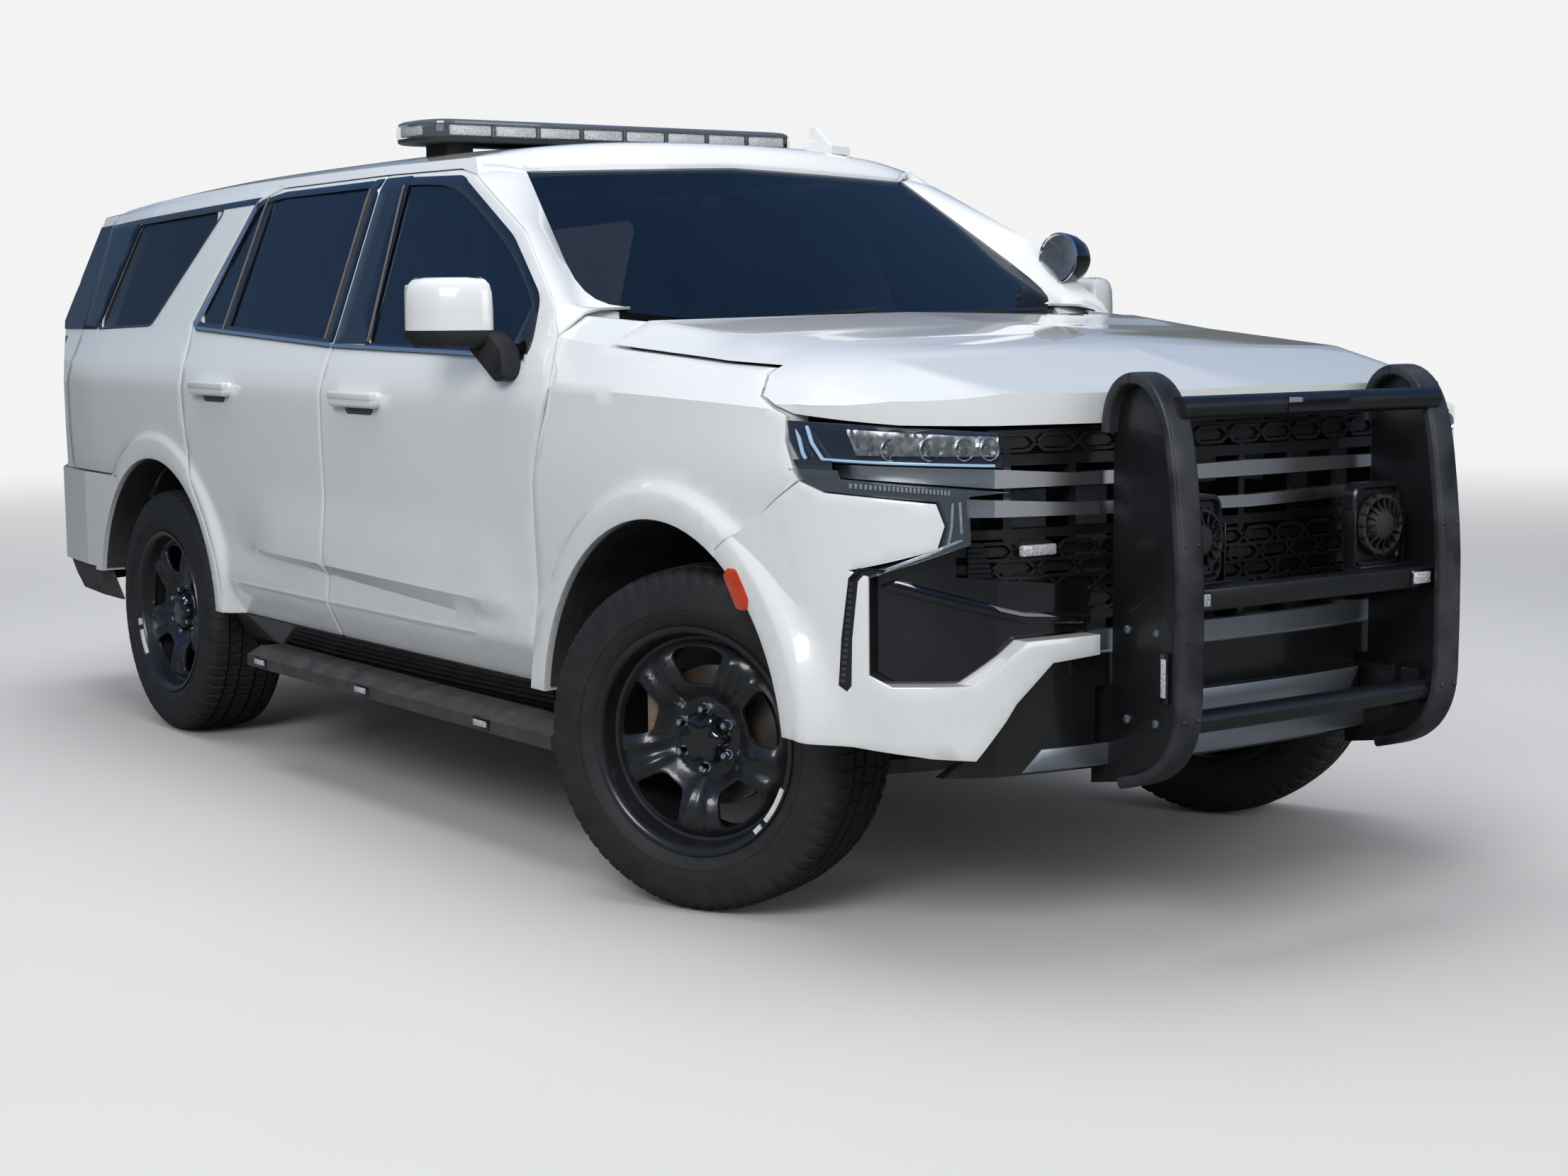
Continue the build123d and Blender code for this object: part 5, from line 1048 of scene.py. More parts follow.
def face_place(y, z, depth=0.0):
    """The wheel face: a dished disc with two ribs on each spoke."""
    r = math.hypot(y, z)
    angle = math.degrees(math.atan2(z, y)) - 90 + SPOKE_STEP / 2
    off = (angle + SPOKE_STEP / 2) % SPOKE_STEP - SPOKE_STEP / 2
    rise = math.exp(-((abs(off) - 9.5) / 4.2) ** 2) * 9 - math.exp(-(off / 4.5) ** 2) * 3
    grow = smooth((r - 84) / 34) * smooth((232 - r) / 26)
    return Vector((face_line(r) + rise * grow - depth, y, z)) / 1000


def window_points(k):
    """One rounded window of the wheel face."""
    turns = [(r, math.radians(90 + SPOKE_STEP * k + off)) for r, off in WINDOW]
    return rounded([(r * math.cos(turn), r * math.sin(turn)) for r, turn in turns], 20, 4)


at_corners("rim", lathed(RIM, 96), "wheel_black", "wheel", sharp=35)
face_piece = panel("wheel_face", circle(233, 72), face_place, "wheel_black", "vehicle",
                   holes=[circle(44, 24)] + [window_points(k) for k in range(5)], grid=9, hem=4, rim=12,
                   sharp=40)
face_bm = bmesh.new()
face_bm.from_mesh(face_piece.data)
bpy.data.objects.remove(face_piece)
at_corners("wheel_face", face_bm, "wheel_black", sharp=40)
cap = lathed([(50, 0), (50, 60), (66, 60), (78, 57), (86, 50), (89, 38), (89.5, 20), (89.5, 0)], 72)
for v in cap.verts:
    r = math.hypot(v.co.y, v.co.z)
    if r > 0.030:
        wave = 0.5 + 0.5 * math.cos(6 * (math.atan2(v.co.z, v.co.y) - math.pi / 2))
        swell = 1 + 0.10 * (1 - wave) - 0.16 * wave * (r > 0.045)
        v.co.y *= swell
        v.co.z *= swell
at_corners("wheel_cap", cap, "cap_black", sharp=35)
NUT = [(54, 0), (54, 13), (58, 13), (58, 10.5), (80, 10.5), (85, 8), (87, 4), (87, 0)]
BOLT_RADIUS = 69.85
nuts = bmesh.new()
for k in range(6):
    one = lathed(NUT, 6)
    bmesh.ops.translate(one, vec=spun(0, BOLT_RADIUS, math.radians(90 + 60 * k)), verts=one.verts)
    add_to(nuts, one)
at_corners("wheel_nuts", nuts, "chrome", sharp=25)
DISC = [(-40, 0), (-40, 60), (-16, 74), (-16, 165), (14, 165), (14, 82), (40, 82), (40, 0)]
at_corners("brake_disc", lathed(DISC, 60), "bare_disc", sharp=35)
WEIGHT = ((121, 251.5), (130, 253), (130, 264), (121, 265.5))
weights = bmesh.new()
for start, length in ((-40, 20), (-16, 5)):
    loft(weights, [[weights.verts.new(spun(x, r, math.radians(start + length * k / 8))) for x, r in WEIGHT]
                   for k in range(9)])
bmesh.ops.recalc_face_normals(weights, faces=weights.faces)
at_corners("wheel_weights", weights, "white_strip", front_turn=-120)

# %% Tyres
TREAD = (
    # along X, radius, how far a notch cuts in
    (-136, 330, 0), (-134, 350, 1.2), (-131, 368, 1.2), (-126, 382, 1.5), (-118, 392, 3), (-108, 398, 4),
    (-80, 402, 4), (-77, 402, 0), (-75.5, 393, 0), (-67.5, 393, 0), (-66, 402.5, 0), (-60, 402.8, 4),
    (-38, 403.5, 4), (-34, 403.5, 0), (-32.5, 394, 0), (-24.5, 394, 0), (-23, 404, 0), (-18, 404, 3),
    (18, 404, 3), (23, 404, 0), (24.5, 394, 0), (32.5, 394, 0), (34, 403.5, 0), (38, 403.5, 4),
    (60, 402.8, 4), (66, 402.5, 0), (67.5, 393, 0), (75.5, 393, 0), (77, 402, 0), (80, 402, 4), (108, 398, 4),
    (118, 392, 3), (126, 382, 1.5), (131, 368, 1.2), (134, 350, 1.2), (136, 332, 0), (137.3, 320, 0),
    (136.5, 306, 0), (134.5, 305, 0), (134, 300, 0), (135.5, 299, 0), (132, 288, 0), (127, 278, 0),
    (121, 270, 0), (112, 256, 0), (98, 256, 0), (100, 300, 0), (100, 340, 0), (60, 385, 0), (-60, 385, 0),
    (-100, 340, 0), (-100, 300, 0), (-98, 256, 0), (-112, 256, 0), (-121, 270, 0), (-132, 288, 0),
    (-137.3, 320, 0),
)
PITCHES = 64
STEPS = ((0.0, 0), (0.66, 0), (0.72, 1), (0.94, 1))
tyre = bmesh.new()
columns = []
for pitch in range(PITCHES):
    for part, low in STEPS:
        column = []
        for x, r, notch in TREAD:
            shift = 0.45 if x < -20 else (0.2 if x < 20 else 0.0)
            angle = 2 * math.pi * (pitch + part + shift) / PITCHES
            column.append(tyre.verts.new(spun(x, r - notch * low, angle)))
        columns.append(column)
loft(tyre, columns, closed=True)
bmesh.ops.recalc_face_normals(tyre, faces=tyre.faces)
at_corners("road_tyre", tyre, "tyre_rubber", "tyre", sharp=32)

# %% [markdown]
# ## Front end
# Lamps with light guides behind clear lenses, the grille's pockets, and the push bumper with its rounded
# rubber edge, bolts, lamps and speakers.

# %% Headlamps
def at_depth(by):
    """The front face, sunk."""
    return proud_by(nose_point, -by)


def front_run(points, by, step=14):
    """Points across the front face at a depth, from (x, z) corners; a third value marks a side station."""
    flat = [(around_side(p[2]) if len(p) == 3 else around(p[0]), p[1]) for p in points]
    return [nose_point(u, z, by) for u, z in dense(flat, step, closed=False)]


def on_nose(name, look_name, outline, depth, corner=0, steps=2, **options):
    """A sheet at a depth in the front face, on both sides."""
    outline = facing(outline)
    pair(panel, name, look_name, ROOT, rounded(outline, corner, steps) if corner else outline,
         at_depth(depth), **options)


LENS = on_front([(693, 1062), (958, 1071)]) + on_side([(-503, 1064), (-480, 1112), (-474, 1156)]) \
    + on_front([(962, 1154), (702, 1133)])
FRAME_C = on_side([(-498, 1058)]) + on_front(
    [(957, 1056), (955, 1038), (692, 1010), (770, 1003), (766, 902), (921, 830), (917, 842), (816, 890),
     (806, 942), (820, 992), (972, 1012)]) + on_side([(-522, 1034)])
on_nose("headlamp_lens", "lamp_lens", LENS, 4, 5, grid=26, hem=2, rim=9)
on_nose("lamp_frame_lens", "clear_lens", FRAME_C, 0.5, 4, grid=24, hem=2, rim=7.5)
GUIDE, RIB = bar(4, -3, 3, 2, 2), bar(1.6, -5, 5, 0.8, 1)
STRIPES = (
    # corners, depth
    ([(0, 1146, -492), (0, 1078, -540)], 13),
    ([(0, 1146, -530), (0, 1078, -582)], 13),
    ([(0, 1078, -582), (925, 1074), (720, 1066)], 14),
)
FRAME_GUIDES = ([(786, 992), (782, 912), (912, 838)], [(798, 990), (800, 940), (806, 900), (905, 846)])
rib_ends = [(x, 1025 - (952 - x) * 0.096) for x in range(806, 950, 6)]
pair(sweeps, "lamp_stripes", "light_stripe", ROOT, [front_run(points, by) for points, by in STRIPES], GUIDE)
pair(sweeps, "lamp_ribs", "light_guide", ROOT, [front_run([(x, z), (x - 3, z)], 3) for x, z in rib_ends], RIB)
pair(sweeps, "lamp_frame_guide", "light_guide", ROOT, [front_run(points, 7) for points in FRAME_GUIDES],
     GUIDE)
BEZEL = [(-14, 22), (5, 24), (7, 22), (-6, 17), (-14, 17), (-14, 22)]
DOME = [(-14, 0), (-14, 17), (-4, 16), (2, 12), (5, 6), (6, 0)]
EYES = [nose_point(around(x), 1100, 20) for x in (896, 838, 778, 730)]
EYE_AXIS = (0.25, -1, 0.05)
FACETS = on_front([(712, 1085), (940, 1087), (951, 1142), (712, 1125)])


def facet_place(u, z, depth=0.0):
    """A reflector of small tilted facets behind the lens."""
    return nose_point(u, z, depth + 19 + 3 * math.sin(u * 0.37) * math.cos(z * 0.51))


pair(panel, "lamp_facets", "facet_mirror", ROOT, FACETS, facet_place, grid=11, hem=1, rim=3, sharp=3)
pair(turned, "lamp_bezels", "grille_chrome", ROOT, BEZEL, EYES, EYE_AXIS, segments=28)
pair(turned, "lamp_domes", "clear_lens", ROOT, DOME, EYES, EYE_AXIS, segments=24)

# %% Bumper slit, grille pockets and lower ribs
SLIT = [(947, 588), (956, 600), (953, 700), (945, 830), (934, 852), (900, 852), (902, 843), (926, 840),
        (934, 824), (941, 700), (942, 600)]
on_nose("bumper_slit", "gloss_black", on_front(SLIT), -1.2, grid=24, hem=1.2, rim=6)
tick_starts = [(948 - (z - 610) * 0.045, z) for z in range(610, 826, 13)]
ticks = [front_run([(x, z), (x + 5, z)], -2.6, 5) for x, z in tick_starts]
pair(sweeps, "slit_ticks", "grained_plastic", ROOT, ticks, bar(1.5, -4, 4, 1, 1))
POCKET_DEPTH, POCKET_STEP, POCKET_WIDE = 72, 107, 53


def hexagon(x, z, wide, high):
    """A flat hexagon's corners, as a closed run on the front face."""
    near = wide * 0.62
    corners = [(x - wide, z), (x - near, z + high), (x + near, z + high), (x + wide, z), (x + near, z - high),
               (x - near, z - high)]
    return [nose_point(around(a), b, POCKET_DEPTH) for a, b in rounded(corners, 3, 1)]


POCKETS = ((1110, 17, 642), (879, 18, 696), (841, 18, 642), (803, 18, 696), (765, 18, 642))
runs = [hexagon(x, z, POCKET_WIDE, high) for z, high, last in POCKETS
        for x in range(-last, last + 1, POCKET_STEP)]
sweeps("grille_pockets", runs, bar(2.4, -5, 3, 1, 1), "grille_black", "vehicle", closed=True)
fins = []
for z in range(730, 905, 11):
    inner = 668 + (z - 730) * 0.42
    fins.append(front_run([(inner, z), (min(764, inner + 96), z)], 64, 16))
pair(sweeps, "grille_corner_ribs", "grille_black", ROOT, fins, RIB)
CREASE = [(914, 812), (905, 800), (640, 728), (472, 716), (472, 740), (640, 752), (890, 826)]
on_nose("corner_panel_fold", "gloss_black", on_front(CREASE), 31, 6, grid=30, hem=7, rim=12)

# %% Satin bars
SATIN = (("satin_lower_bar", [(-362, 552), (362, 552), (330, 501), (-330, 501)], 20.5),
         ("satin_skid", [(-640, 404), (640, 404), (592, 452), (-592, 452)], 38.5))
for name, outline, depth in SATIN:
    panel(name, on_front(dense(outline, 60)), at_depth(depth), "satin_bar", "vehicle", grid=30, hem=2.5,
          rim=9)

# %% Push bumper
EDGE_PATH = [(-886, 1128), (-888, 1160), (-897, 1195), (-915, 1224), (-944, 1242), (-978, 1245),
             (-1010, 1233), (-1037, 1209), (-1058, 1174), (-1073, 1130), (-1084, 1078), (-1096, 990),
             (-1106, 900), (-1111, 820), (-1112, 690), (-1111, 560), (-1106, 512), (-1091, 470), (-1066, 434),
             (-1030, 406), (-988, 388), (-938, 375)]
PLATE = EDGE_PATH + [(-821, 356), (-821, 400), (-850, 430), (-828, 453), (-828, 570), (-886, 580)]
BOLT = [(0, 0), (0, 10), (4, 9), (6, 5), (6.5, 0)]
RIVET = [(0, 0), (0, 6), (2.5, 4.5), (3.4, 0)]
BOLTS = [(s, z) for s in (-935, -1022) for z in (512, 706)]
RIVETS = ((-1068, 1108), (-1106, 900), (-1111, 700), (-1110, 530))
PLATE_X = 410
soft_path = dense([EDGE_PATH[0]] + rounded(EDGE_PATH, 16, 2)[3:-3] + [EDGE_PATH[-1]], 30, closed=False)
for side, sign in SIDES:
    x = sign * PLATE_X
    slab("push_plate_" + side, facing(PLATE), x - 6, x + 6, "black_coat", "vehicle", edge=2.0,
         replaces=["push_bumper"] if sign > 0 else ())
    sweep("push_edge_" + side, [mm(x, s, z) for s, z in soft_path], bar(36, -13, 13, 13, 5), "edge_rubber",
          "vehicle", up=(0, -1, 0.01), sharp=60)
tubes = [[mm(x, s, z) for x in (-404, 404)] for s, z in ((-1065, 1182), (-1072, 516))]
sweeps("push_tubes", tubes, circle(25, 28), "black_coat", "vehicle")
for side, sign in SIDES:
    bolts = [mm(sign * (PLATE_X + 6), s, z) for s, z in BOLTS]
    turned("push_bolts_" + side, BOLT, bolts, (sign, 0, 0), "satin_bar", "vehicle", 16)
    x = sign * (PLATE_X + 6)
    blocks("plate_lamp_bezel_" + side, [(x, x + sign * 9, -1066, -1038, 560, 668)], "gloss_black", "vehicle",
           edge=5)
    blocks("plate_lamp_" + side, [(x, x + sign * 11, -1060, -1044, 572, 656)], "led_array", "vehicle", edge=3)
rivets = [mm(sign * (PLATE_X + k * 21), s - 12.5, z) for sign in (-1, 1) for k in (-1, 1) for s, z in RIVETS]
turned("push_rivets", RIVET, rivets, (0, -1, 0), "edge_rubber", "vehicle", 14)


def both_sides(*boxes):
    """Boxes on the left, with their copies on the right."""
    return [(sign * x0, sign * x1, *rest) for x0, x1, *rest in boxes for sign in (1, -1)]


PUSH_BLOCKS = (
    # name, boxes, look, edge, segments
    ("push_shelf", [(-404, 404, -1082, -1030, 752, 800)], "black_coat", 5, 3),
    ("push_brackets", both_sides((404, 380, -1060, -700, 480, 560), (350, 404, -1010, -1004, 470, 570)),
     "black_coat", 3, 2),
    ("push_top_blank", [(-98, 98, -1092, -1088, 1166, 1198)], "gloss_black", 2, 2),
    ("shelf_lamp_bezels", both_sides((318, 386, -1086, -1080, 757, 795)), "gloss_black", 3, 2),
    ("shelf_lamps", both_sides((324, 380, -1090, -1082, 763, 790)), "led_array", 3, 2),
    ("grille_lamps", both_sides((533, 628, -838, -822, 868, 892)), "led_array", 4, 2),
)
for name, boxes, look_name, edge, segments in PUSH_BLOCKS:
    blocks(name, boxes, look_name, "vehicle", edge, segments)

# %% Speakers
SPEAKER_Z = 897
HORN = [(18, 64), (30, 70), (42, 68), (44, 61), (34, 56), (30, 45), (44, 36), (50, 25), (52, 0), (18, 0),
        (18, 64)]
CASE_LEVELS = ((-972, 0), (-1004, 0), (-1010, 4), (-1010, 10), (-1000, 16))
BLADE = ((32, -1028), (50, -1022), (72, -1022))
for side, sign in SIDES:
    x = sign * 290
    corners = rounded([(x - 80, 802), (x + 80, 802), (x + 80, 992), (x - 80, 992)], 34, 4)
    stack("speaker_case_" + side, corners, CASE_LEVELS, "black_coat", "vehicle",
          ["siren_speakers"] if sign < 0 else (), place=lambda a, b, s: mm(a, s, b))
    turned("speaker_horn_" + side, HORN, [mm(x, -982, SPEAKER_Z)], (0, -1, 0), "grained_plastic", "vehicle")
    blades = []
    for k in range(16):
        angle = 2 * math.pi * k / 16
        blades.append([mm(x + r * math.cos(angle), s, SPEAKER_Z + r * math.sin(angle)) for r, s in BLADE])
    sweeps("speaker_blades_" + side, blades, bar(2, -8, 5, 1, 1), "black_coat", "vehicle", up=(0, -1, 0))
    bracket = [(x - 85, x - 80, -1016, -985, 800, 930), (x + 80, x + 85, -1016, -985, 800, 930),
               (x - 85, x + 85, -1036, -985, 800, 806)]
    blocks("speaker_bracket_" + side, bracket, "black_coat", "vehicle", edge=2)

# %% [markdown]
# ## Roof equipment
# A clear-lens light bar on feet, a spot lamp on the left pillar and the wipers' arms.

# %% Light bar
def round_plan(x_half, s_low, s_high, corner, count=10):
    """A plan outline with round corners."""
    points = []
    for cx, cs, start in ((x_half - corner, s_high - corner, 0), (-x_half + corner, s_high - corner, 90),
                          (-x_half + corner, s_low + corner, 180), (x_half - corner, s_low + corner, 270)):
        angles = [math.radians(start + 90 * k / count) for k in range(count + 1)]
        points += [(cx + corner * math.cos(angle), cs + corner * math.sin(angle)) for angle in angles]
    return points


BAR_S = 1872
BAR = round_plan(672, BAR_S - 150, BAR_S + 150, 110)
BAR_PARTS = (
    # name, (height, inset) levels, look
    ("bar_base", ((1890, 12), (1893, 5), (1903, 3), (1904, 8)), "grained_plastic"),
    ("bar_lens", ((1904, 3), (1906, 1), (1930, 0.5), (1941, 4), (1947, 12), (1947, 24), (1904.5, 22)),
     "bar_lens_clear"),
    ("bar_top", ((1943, 6), (1949, 7), (1955, 20), (1959, 60), (1960, 100)), "smoke_lens"),
)
for name, levels, look_name in BAR_PARTS:
    stack(name, BAR, levels, look_name, "vehicle", ["light_bar"] if name == "bar_base" else ())
cells = [-532 + 152 * k for k in range(8)]
modules = [(x - 68, x + 68, BAR_S + s, BAR_S + s + 13, 1908, 1938) for x in cells for s in (-141, 128)]
dividers = [(x + 71, x + 81, BAR_S - 143, BAR_S - 100, 1905, 1941) for x in cells]
BAR_BLOCKS = (
    # name, boxes, look, edge, segments
    ("bar_modules", modules, "led_array", 4, 2),
    ("bar_corner_modules", both_sides((648, 661, BAR_S - 62, BAR_S + 62, 1909, 1938)), "led_array", 4, 2),
    ("bar_dividers", dividers, "gloss_black", 2, 2),
    ("bar_spine", [(-600, 600, BAR_S - 122, BAR_S + 122, 1905, 1941)], "lamp_dark", 4, 2),
    ("bar_feet", both_sides((575, 485, BAR_S - 70, BAR_S + 70, 1840, 1895)), "grained_plastic", 8, 3),
)
for name, boxes, look_name, edge, segments in BAR_BLOCKS:
    blocks(name, boxes, look_name, "vehicle", edge, segments)

# %% Spot lamp and wipers
SPOT_AXIS = Vector((-0.97, -0.10, 0.08)).normalized()
SPOT = (
    # name, profile, look, segments
    ("spot_shell", [(-74, 0), (-70, 22), (-58, 44), (-36, 62), (-8, 72), (18, 75), (34, 75), (34, 70),
                    (18, 69), (18, 0)], "gloss_black", 48),
    ("spot_rim", [(30, 68), (36, 75.5), (40, 75), (41, 70), (37, 67), (30, 68)], "chrome", 48),
    ("spot_glass", [(34, 0), (34, 68), (39, 68), (43, 50), (46, 26), (47, 0)], "clear_lens", 40),
    ("spot_reflector", [(20, 0), (20, 66), (33, 67), (27, 45), (23, 22), (22, 0)], "reflector", 40),
)
for name, profile, look_name, segments in SPOT:
    turned(name, profile, [mm(882, 697, 1532)], SPOT_AXIS, look_name, "vehicle", segments,
           ["spot_lamp"] if name == "spot_shell" else ())
SPOT_ARM = ((880, 697, 1465), (868, 697, 1452), (846, 700, 1446), (826, 712, 1444))
WIPERS = (((-530, 396, 1354), (-300, 398, 1374), (-60, 402, 1390)),
          ((60, 398, 1376), (300, 404, 1380), (560, 426, 1386)))
WIPER = rounded([(-7, -3), (7, -3), (5, 6), (-5, 6)], 2, 2)
sweep("spot_arm", [mm(*p) for p in SPOT_ARM], circle(11, 16), "grained_plastic", "vehicle")
sweeps("wiper_blades", [[mm(*p) for p in run] for run in WIPERS], WIPER, "grained_plastic", "vehicle")

# %% [markdown]
# ## Inside the cabin
# Seats with bolsters and head rests, door linings with arm rests, the mirror, the dash and the console.

# %% Seats and cabin
def cushion(bm, low, high, turn=None, power=4.5, channels=0, crown=0.12):
    """Adds a crowned closed pad whose sides pull in, with sewn channels along it, to a bmesh."""
    one = bmesh.new()
    bmesh.ops.create_cube(one, size=2.0)
    bmesh.ops.subdivide_edges(one, edges=list(one.edges), cuts=9, use_grid_fill=True)
    middle, half = (low + high) / 2, (high - low) / 2
    thin = min(range(3), key=lambda k: half[k])
    for v in one.verts:
        p = v.co / sum(abs(c) ** power for c in v.co) ** (1 / power)
        flat = [p[k] for k in range(3) if k != thin]
        puff = 1 - crown + crown * (1 - flat[0] ** 2) * (1 - flat[1] ** 2)
        seams = [-0.5 + c / max(1, channels - 1) for c in range(channels)]
        p[thin] *= puff - sum(0.07 * math.exp(-((p[0] - seam) / 0.06) ** 2) for seam in seams)
        v.co = Vector([middle[k] + p[k] * half[k] for k in range(3)])
    if turn:
        bmesh.ops.transform(one, matrix=turn, verts=one.verts)
    add_to(bm, one)


SEATS = ((-432, 236, 1180, 1160, (0,)), (432, 236, 1180, 1160, (0,)), (0, 620, 2050, 1150, (-400, 400)))
for number, (x, half, s, top, rests) in enumerate(SEATS):
    hinge = mm(x, s + 470, 765)
    lean = Matrix.Translation(hinge) @ Matrix.Rotation(math.radians(-16), 4, "X") @ Matrix.Translation(-hinge)
    base = bmesh.new()
    cushion(base, mm(x - half + 50, s - 6, 640), mm(x + half - 50, s + 500, 800), channels=2)
    for edge in (x - half, x + half - 80):
        cushion(base, mm(edge, s + 6, 630), mm(edge + 80, s + 500, 815), power=3.4)
    back = bmesh.new()
    cushion(back, mm(x - half + 50, s + 392, 770), mm(x + half - 50, s + 510, top + 30), lean, channels=2)
    for edge in (x - half, x + half - 84):
        cushion(back, mm(edge, s + 366, 775), mm(edge + 84, s + 510, top - 6), lean, power=3.4)
    for rest in rests:
        cushion(back, mm(x + rest - 125, s + 400, top + 48), mm(x + rest + 125, s + 492, top + 188), lean,
                power=3.6)
    for pad, name, node in ((base, "seat_cushion_", "seat_bases"), (back, "seat_back_pad_", "seat_backs")):
        finish(pad, f"{name}{number}", "seat_cloth", "vehicle", 60, [node] if number == 0 else ())
    posts = [(x + rest + d - 6, x + rest + d + 6, s + 440, s + 452, top, top + 70) for rest in rests
             for d in (-60, 60)]
    blocks(f"seat_posts_{number}", posts, "chrome", "vehicle", edge=3, turn=lean)
    blocks(f"seat_frame_{number}", [(x - half + 20, x + half - 20, s + 30, s + 480, 459, 650)], "dash_trim",
           "vehicle", edge=20, segments=3)
blocks("rear_view_mirror", [(-120, 120, 1150, 1172, 1655, 1725)], "gloss_black", "vehicle", edge=10,
       segments=3)
blocks("dash_binnacle", [(250, 520, 700, 800, 1225, 1290), (-180, 180, 720, 830, 1180, 1288)], "dash_trim",
       "vehicle", edge=16, segments=3)
blocks("console", [(-150, 150, 860, 1500, 459, 760)], "dash_trim", "vehicle", edge=24, segments=3)
DOOR_LINERS = (
    # name, outline, arm rest, bodies
    ("front_door_liner", [(640, 520), (1730, 520), (1730, 1270), (690, 1262), (640, 1180)], (960, 1640),
     FRONT_BODIES),
    ("rear_door_liner", [(1815, 520), (2480, 520), (2620, 760), (2720, 960), (2760, 1290), (1815, 1270)],
     (1880, 2560), REAR_BODIES),
)


def inner_side(s, z, depth=0.0):
    """The inner face of the doors."""
    return mm(cabin_x(s, z) - 111.5 + depth, s, z)


for name, outline, arm_rest, bodies in DOOR_LINERS:
    pair(panel, name, "door_trim", bodies, rounded(facing(outline), 60, 5), inner_side, grid=60, hem=5, rim=9)
    pair(blocks, name + "_rest", "door_trim", bodies, [(862, 902, *arm_rest, 880, 940)], edge=16, segments=4)

# %% [markdown]
# ## Rear
# The plate's recess with a blank plate, the step's mat and the black valance.

# %% Rear details
blocks("plate_recess", [(-300, 300, 4308, 4322, 852, 1000)], "grained_plastic", "tailgate_body", edge=6)
blocks("blank_plate", [(-152, 152, 4318, 4326, 866, 986)], "white_strip", "tailgate_body", edge=3)
blocks("tread_mat", [(-800, 800, 4268, 4340, 684, 690)], "grained_plastic", "vehicle", edge=2)
REAR_PLAN = [(-1000, 3602), (-996, 3800), (-962, 4108), (-880, 4290), (-700, 4362), (-350, 4385)]
REAR_PLAN += [(-x, s) for x, s in REAR_PLAN[::-1]]
rear_x, rear_s = np.array(REAR_PLAN, float).T
rear_u = np.concatenate([[0], np.cumsum(np.hypot(np.diff(rear_x), np.diff(rear_s)))])


def valance_place(u, z, depth=0.0):
    """The black valance round the rear corners, tucked under towards its foot."""
    share = 1 - (depth + 4 + (506 - z) * 0.30) / 1000
    x, s = float(np.interp(u, rear_u, rear_x)), float(np.interp(u, rear_u, rear_s))
    return mm(x * share, 3000 + (s - 3000) * share, z)


panel("rear_valance", [(4, 394), (rear_u[-1] - 4, 394), (rear_u[-1] - 4, 506), (4, 506)], valance_place,
      "grained_plastic", "vehicle", creases=[[(u, 396), (u, 504)] for u in rear_u[1:-1]], grid=60, hem=3,
      rim=12)

# %% [markdown]
# ## Stage, light and camera
# A pale floor and backdrop, soft studio light, and a camera solved from the photograph's own view.

# %% CAD materials
CAD_LOOKS = {
    "white_paint": ("roof", "front_wings", "bonnet", "front_bumper", "tailgate", "rear_bumper"),
    "white_cap": ("fin_aerial",),
    "side_glass": ("tailgate_glass",),
    "screen_glass": ("fixed_glass",),
    "lamp_dark": ("headlamps",),
    "gloss_black": ("corner_panels",),
    "underbody": ("front_carrier", "frame_rails", "crossmembers", "floor_pan", "suspension", "tow_receiver",
                  "fuel_tank"),
    "grille_black": ("grille", "lower_valance"),
    "grille_chrome": ("grille_brights",),
    "satin_bar": ("bumper_bar",),
    "black_coat": ("push_bumper", "siren_speakers"),
    "red_lens": ("tail_lamps",),
    "grained_plastic": ("firewall_cowl", "arch_liners", "running_boards", "wipers", "spot_lamp", "light_bar"),
    "cast_alloy": ("engine_block", "gearbox_and_shaft"),
    "dull_steel": ("exhaust",),
    "seat_cloth": ("seat_bases", "seat_backs"),
    "dash_trim": ("dashboard", "steering_wheel"),
}
LOOKS_BY_START = (("body_side", "body_split"), ("wheel_", "wheel_black"), ("tyre_", "tyre_rubber"),
                  ("knuckle", "rusty_iron"), ("mirror", "grained_plastic"))


def wear(node, look_name):
    """Gives a CAD node one look."""
    node.data.materials.clear()
    node.data.materials.append(LOOKS[look_name][0])


for look_name, names in CAD_LOOKS.items():
    for name in names:
        wear(nodes[name], look_name)
for name, node in nodes.items():
    if "door" in name:
        wear(node, "side_glass" if "glass" in name else "white_paint")
    for start, look_name in LOOKS_BY_START:
        if name.startswith(start):
            wear(node, look_name)

# %% Floor and world
BACKDROP = (0.90, 0.90, 0.90, 1)
FADE_START, FADE_END = 5.0, 16.0
floor_mesh = bpy.data.meshes.new("floor")
floor_mesh.from_pydata([(-60, -60, 0), (60, -60, 0), (60, 60, 0), (-60, 60, 0)], [], [(0, 1, 2, 3)])
floor = bpy.data.objects.new("floor", floor_mesh)
bpy.context.scene.collection.objects.link(floor)
floor_mesh.materials.append(LOOKS["floor_grey"][0])
tree = LOOKS["floor_grey"][0].node_tree
shader = tree.nodes["Principled BSDF"]
seen = add_node(tree, "LightPath").outputs["Is Camera Ray"]
place = add_node(tree, "TexCoord").outputs["Object"]
far = add_node(tree, "VectorMath", {0: place}, operation="LENGTH").outputs["Value"]
fade = add_node(tree, "MapRange", {"Value": far, "From Min": FADE_START, "From Max": FADE_END},
                interpolation_type="SMOOTHSTEP").outputs["Result"]
faded = add_node(tree, "Math", {0: fade, 1: seen}, operation="MULTIPLY").outputs["Value"]
glow = add_node(tree, "Emission", {"Color": BACKDROP, "Strength": 1.0}).outputs["Emission"]
blend = add_node(tree, "MixShader", {"Fac": faded, 1: shader.outputs["BSDF"], 2: glow}).outputs["Shader"]
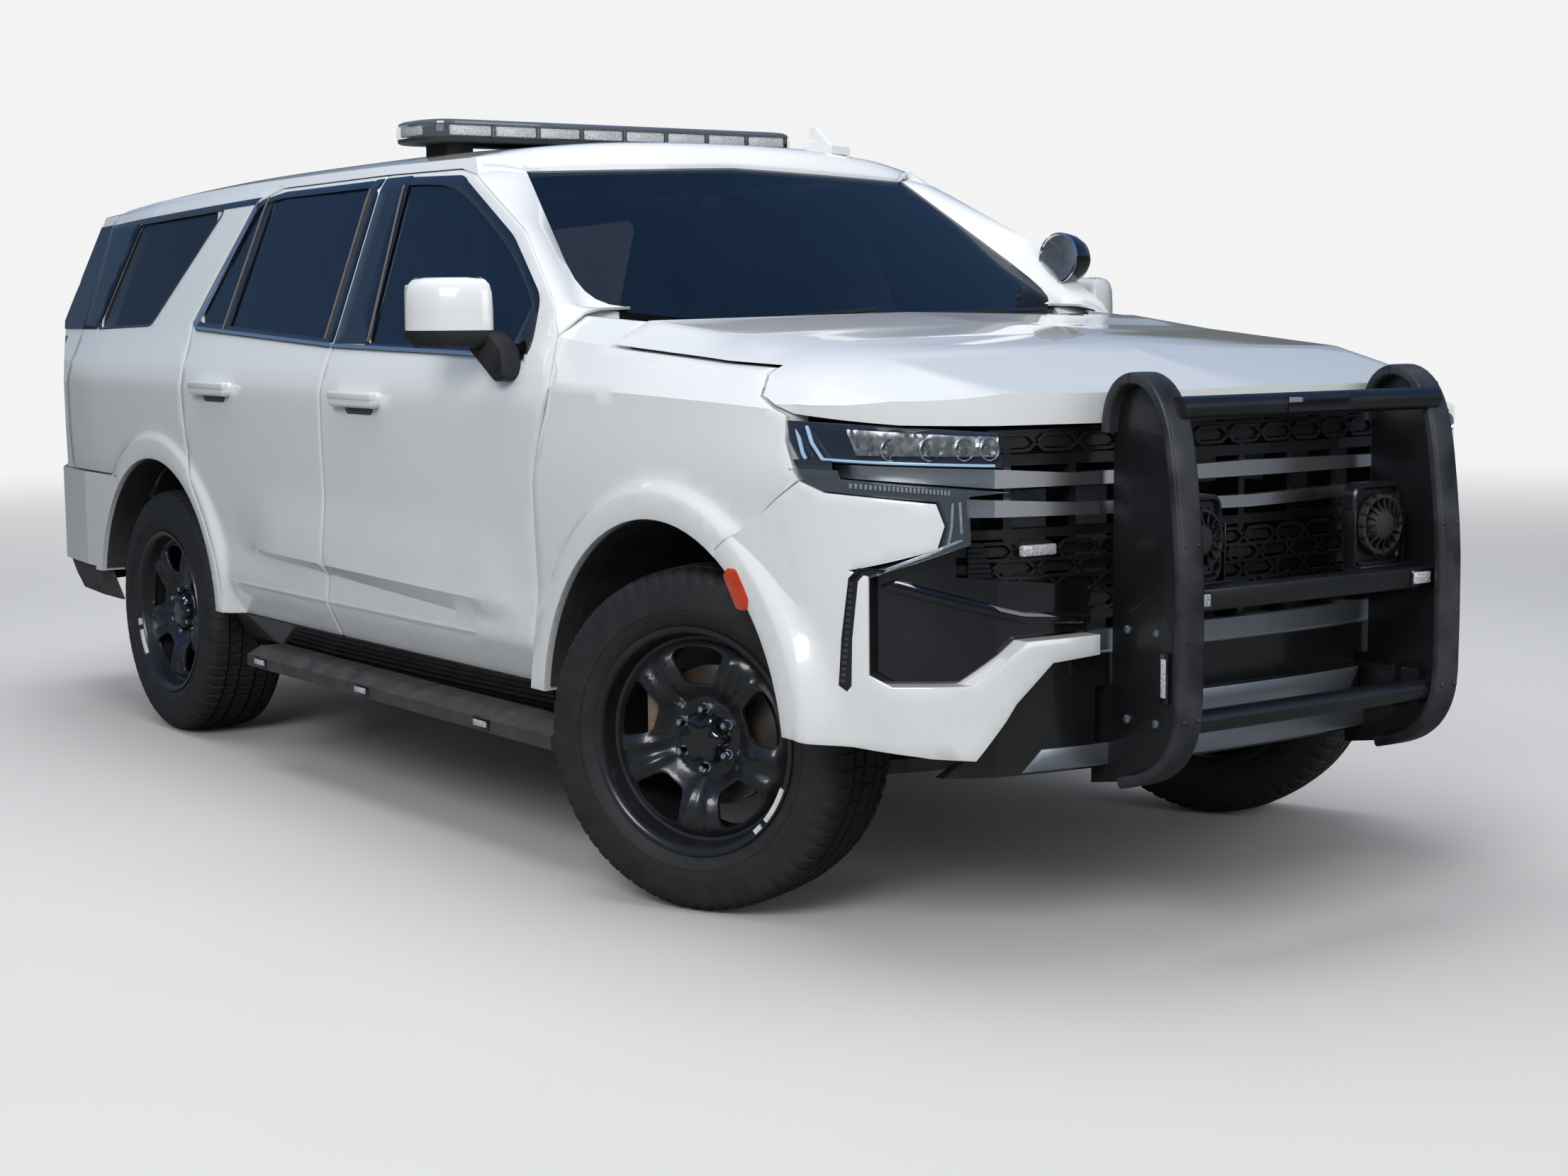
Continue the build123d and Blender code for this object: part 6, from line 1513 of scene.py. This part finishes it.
tree.links.new(blend, tree.nodes["Material Output"].inputs["Surface"])
base = shader.inputs["Base Color"]
tree.links.new(mixed(tree, seen, (0.16, 0.165, 0.17, 1), base.links[0].from_socket), base)

world = bpy.context.scene.world or bpy.data.worlds.new("world")
bpy.context.scene.world = world
world.use_nodes = True
tree = world.node_tree
tree.nodes.clear()
SKY = ((0.0, (0.05, 0.06, 0.06)), (0.08, (0.06, 0.07, 0.07)), (0.14, (0.16, 0.24, 0.36)),
       (0.40, (0.09, 0.19, 0.40)), (1.0, (0.05, 0.12, 0.30)))
direction = add_node(tree, "TexCoord").outputs["Generated"]
height = add_node(tree, "SeparateXYZ", {"Vector": direction}).outputs["Z"]
sky = add_node(tree, "ValToRGB", {"Fac": height})
sky.color_ramp.elements[0].color = (*SKY[0][1], 1)
sky.color_ramp.elements[1].color = (*SKY[-1][1], 1)
for position, colour in SKY[1:-1]:
    sky.color_ramp.elements.new(position).color = (*colour, 1)
soft = add_node(tree, "Background", {"Color": (0.86, 0.89, 0.93, 1), "Strength": 0.50}).outputs["Background"]
mirrored_sky = {"Color": sky.outputs["Color"], "Strength": 0.9}
mirrored = add_node(tree, "Background", mirrored_sky).outputs["Background"]
backdrop = add_node(tree, "Background", {"Color": BACKDROP}).outputs["Background"]
ray = add_node(tree, "LightPath").outputs
lit = add_node(tree, "MixShader", {"Fac": ray["Is Glossy Ray"], 1: soft, 2: mirrored}).outputs["Shader"]
shown = add_node(tree, "MixShader", {"Fac": ray["Is Camera Ray"], 1: lit, 2: backdrop}).outputs["Shader"]
add_node(tree, "OutputWorld", {"Surface": shown})

# %% Lights and camera
LIGHTS = (
    # name, place, aimed at, size, power, seen in reflections
    ("key", (-7.5, -6.5, 6.0), (0, -0.5, 0.8), 4.0, 520, True),
    ("front", (2.5, -10.0, 4.0), (0, -1.0, 0.8), 5.0, 190, True),
    ("top", (0.0, 0.5, 7.0), (0, 0, 1.0), 6.0, 330, False),
    ("rear", (4.5, 8.0, 4.5), (0, 0.5, 0.9), 5.0, 170, False),
)
for name, where, aim, size, power, reflected in LIGHTS:
    lamp = bpy.data.lights.new(name, "AREA")
    lamp.energy = power
    lamp.size = size
    holder = bpy.data.objects.new(name, lamp)
    holder.location = where
    holder.rotation_euler = (Vector(aim) - Vector(where)).to_track_quat("-Z", "Y").to_euler()
    holder.visible_glossy = reflected
    bpy.context.scene.collection.objects.link(holder)

YAW, PITCH, ROLL = math.radians(35.59), math.radians(-6.59), math.radians(-0.48)
CAMERA_PLACE = (-4.018, -6.3335, 1.398)
FOCAL_PIXELS, PHOTO_WIDTH, SENSOR = 3428, 2212, 36.0
ahead = Vector((math.sin(YAW) * math.cos(PITCH), math.cos(YAW) * math.cos(PITCH), math.sin(PITCH)))
right = Vector((math.cos(YAW), -math.sin(YAW), 0))
upward = right.cross(ahead)
turned_right = right * math.cos(ROLL) + upward * math.sin(ROLL)
turned_up = upward * math.cos(ROLL) - right * math.sin(ROLL)
camera_data = bpy.data.cameras.new("camera")
camera_data.sensor_width = SENSOR
camera_data.lens = FOCAL_PIXELS * SENSOR / PHOTO_WIDTH
camera = bpy.data.objects.new("camera", camera_data)
turn = Matrix((turned_right, turned_up, -ahead)).transposed().to_4x4()
camera.matrix_world = Matrix.Translation(CAMERA_PLACE) @ turn
bpy.context.scene.collection.objects.link(camera)
bpy.context.scene.camera = camera
bpy.context.scene.view_settings.view_transform = "Standard"
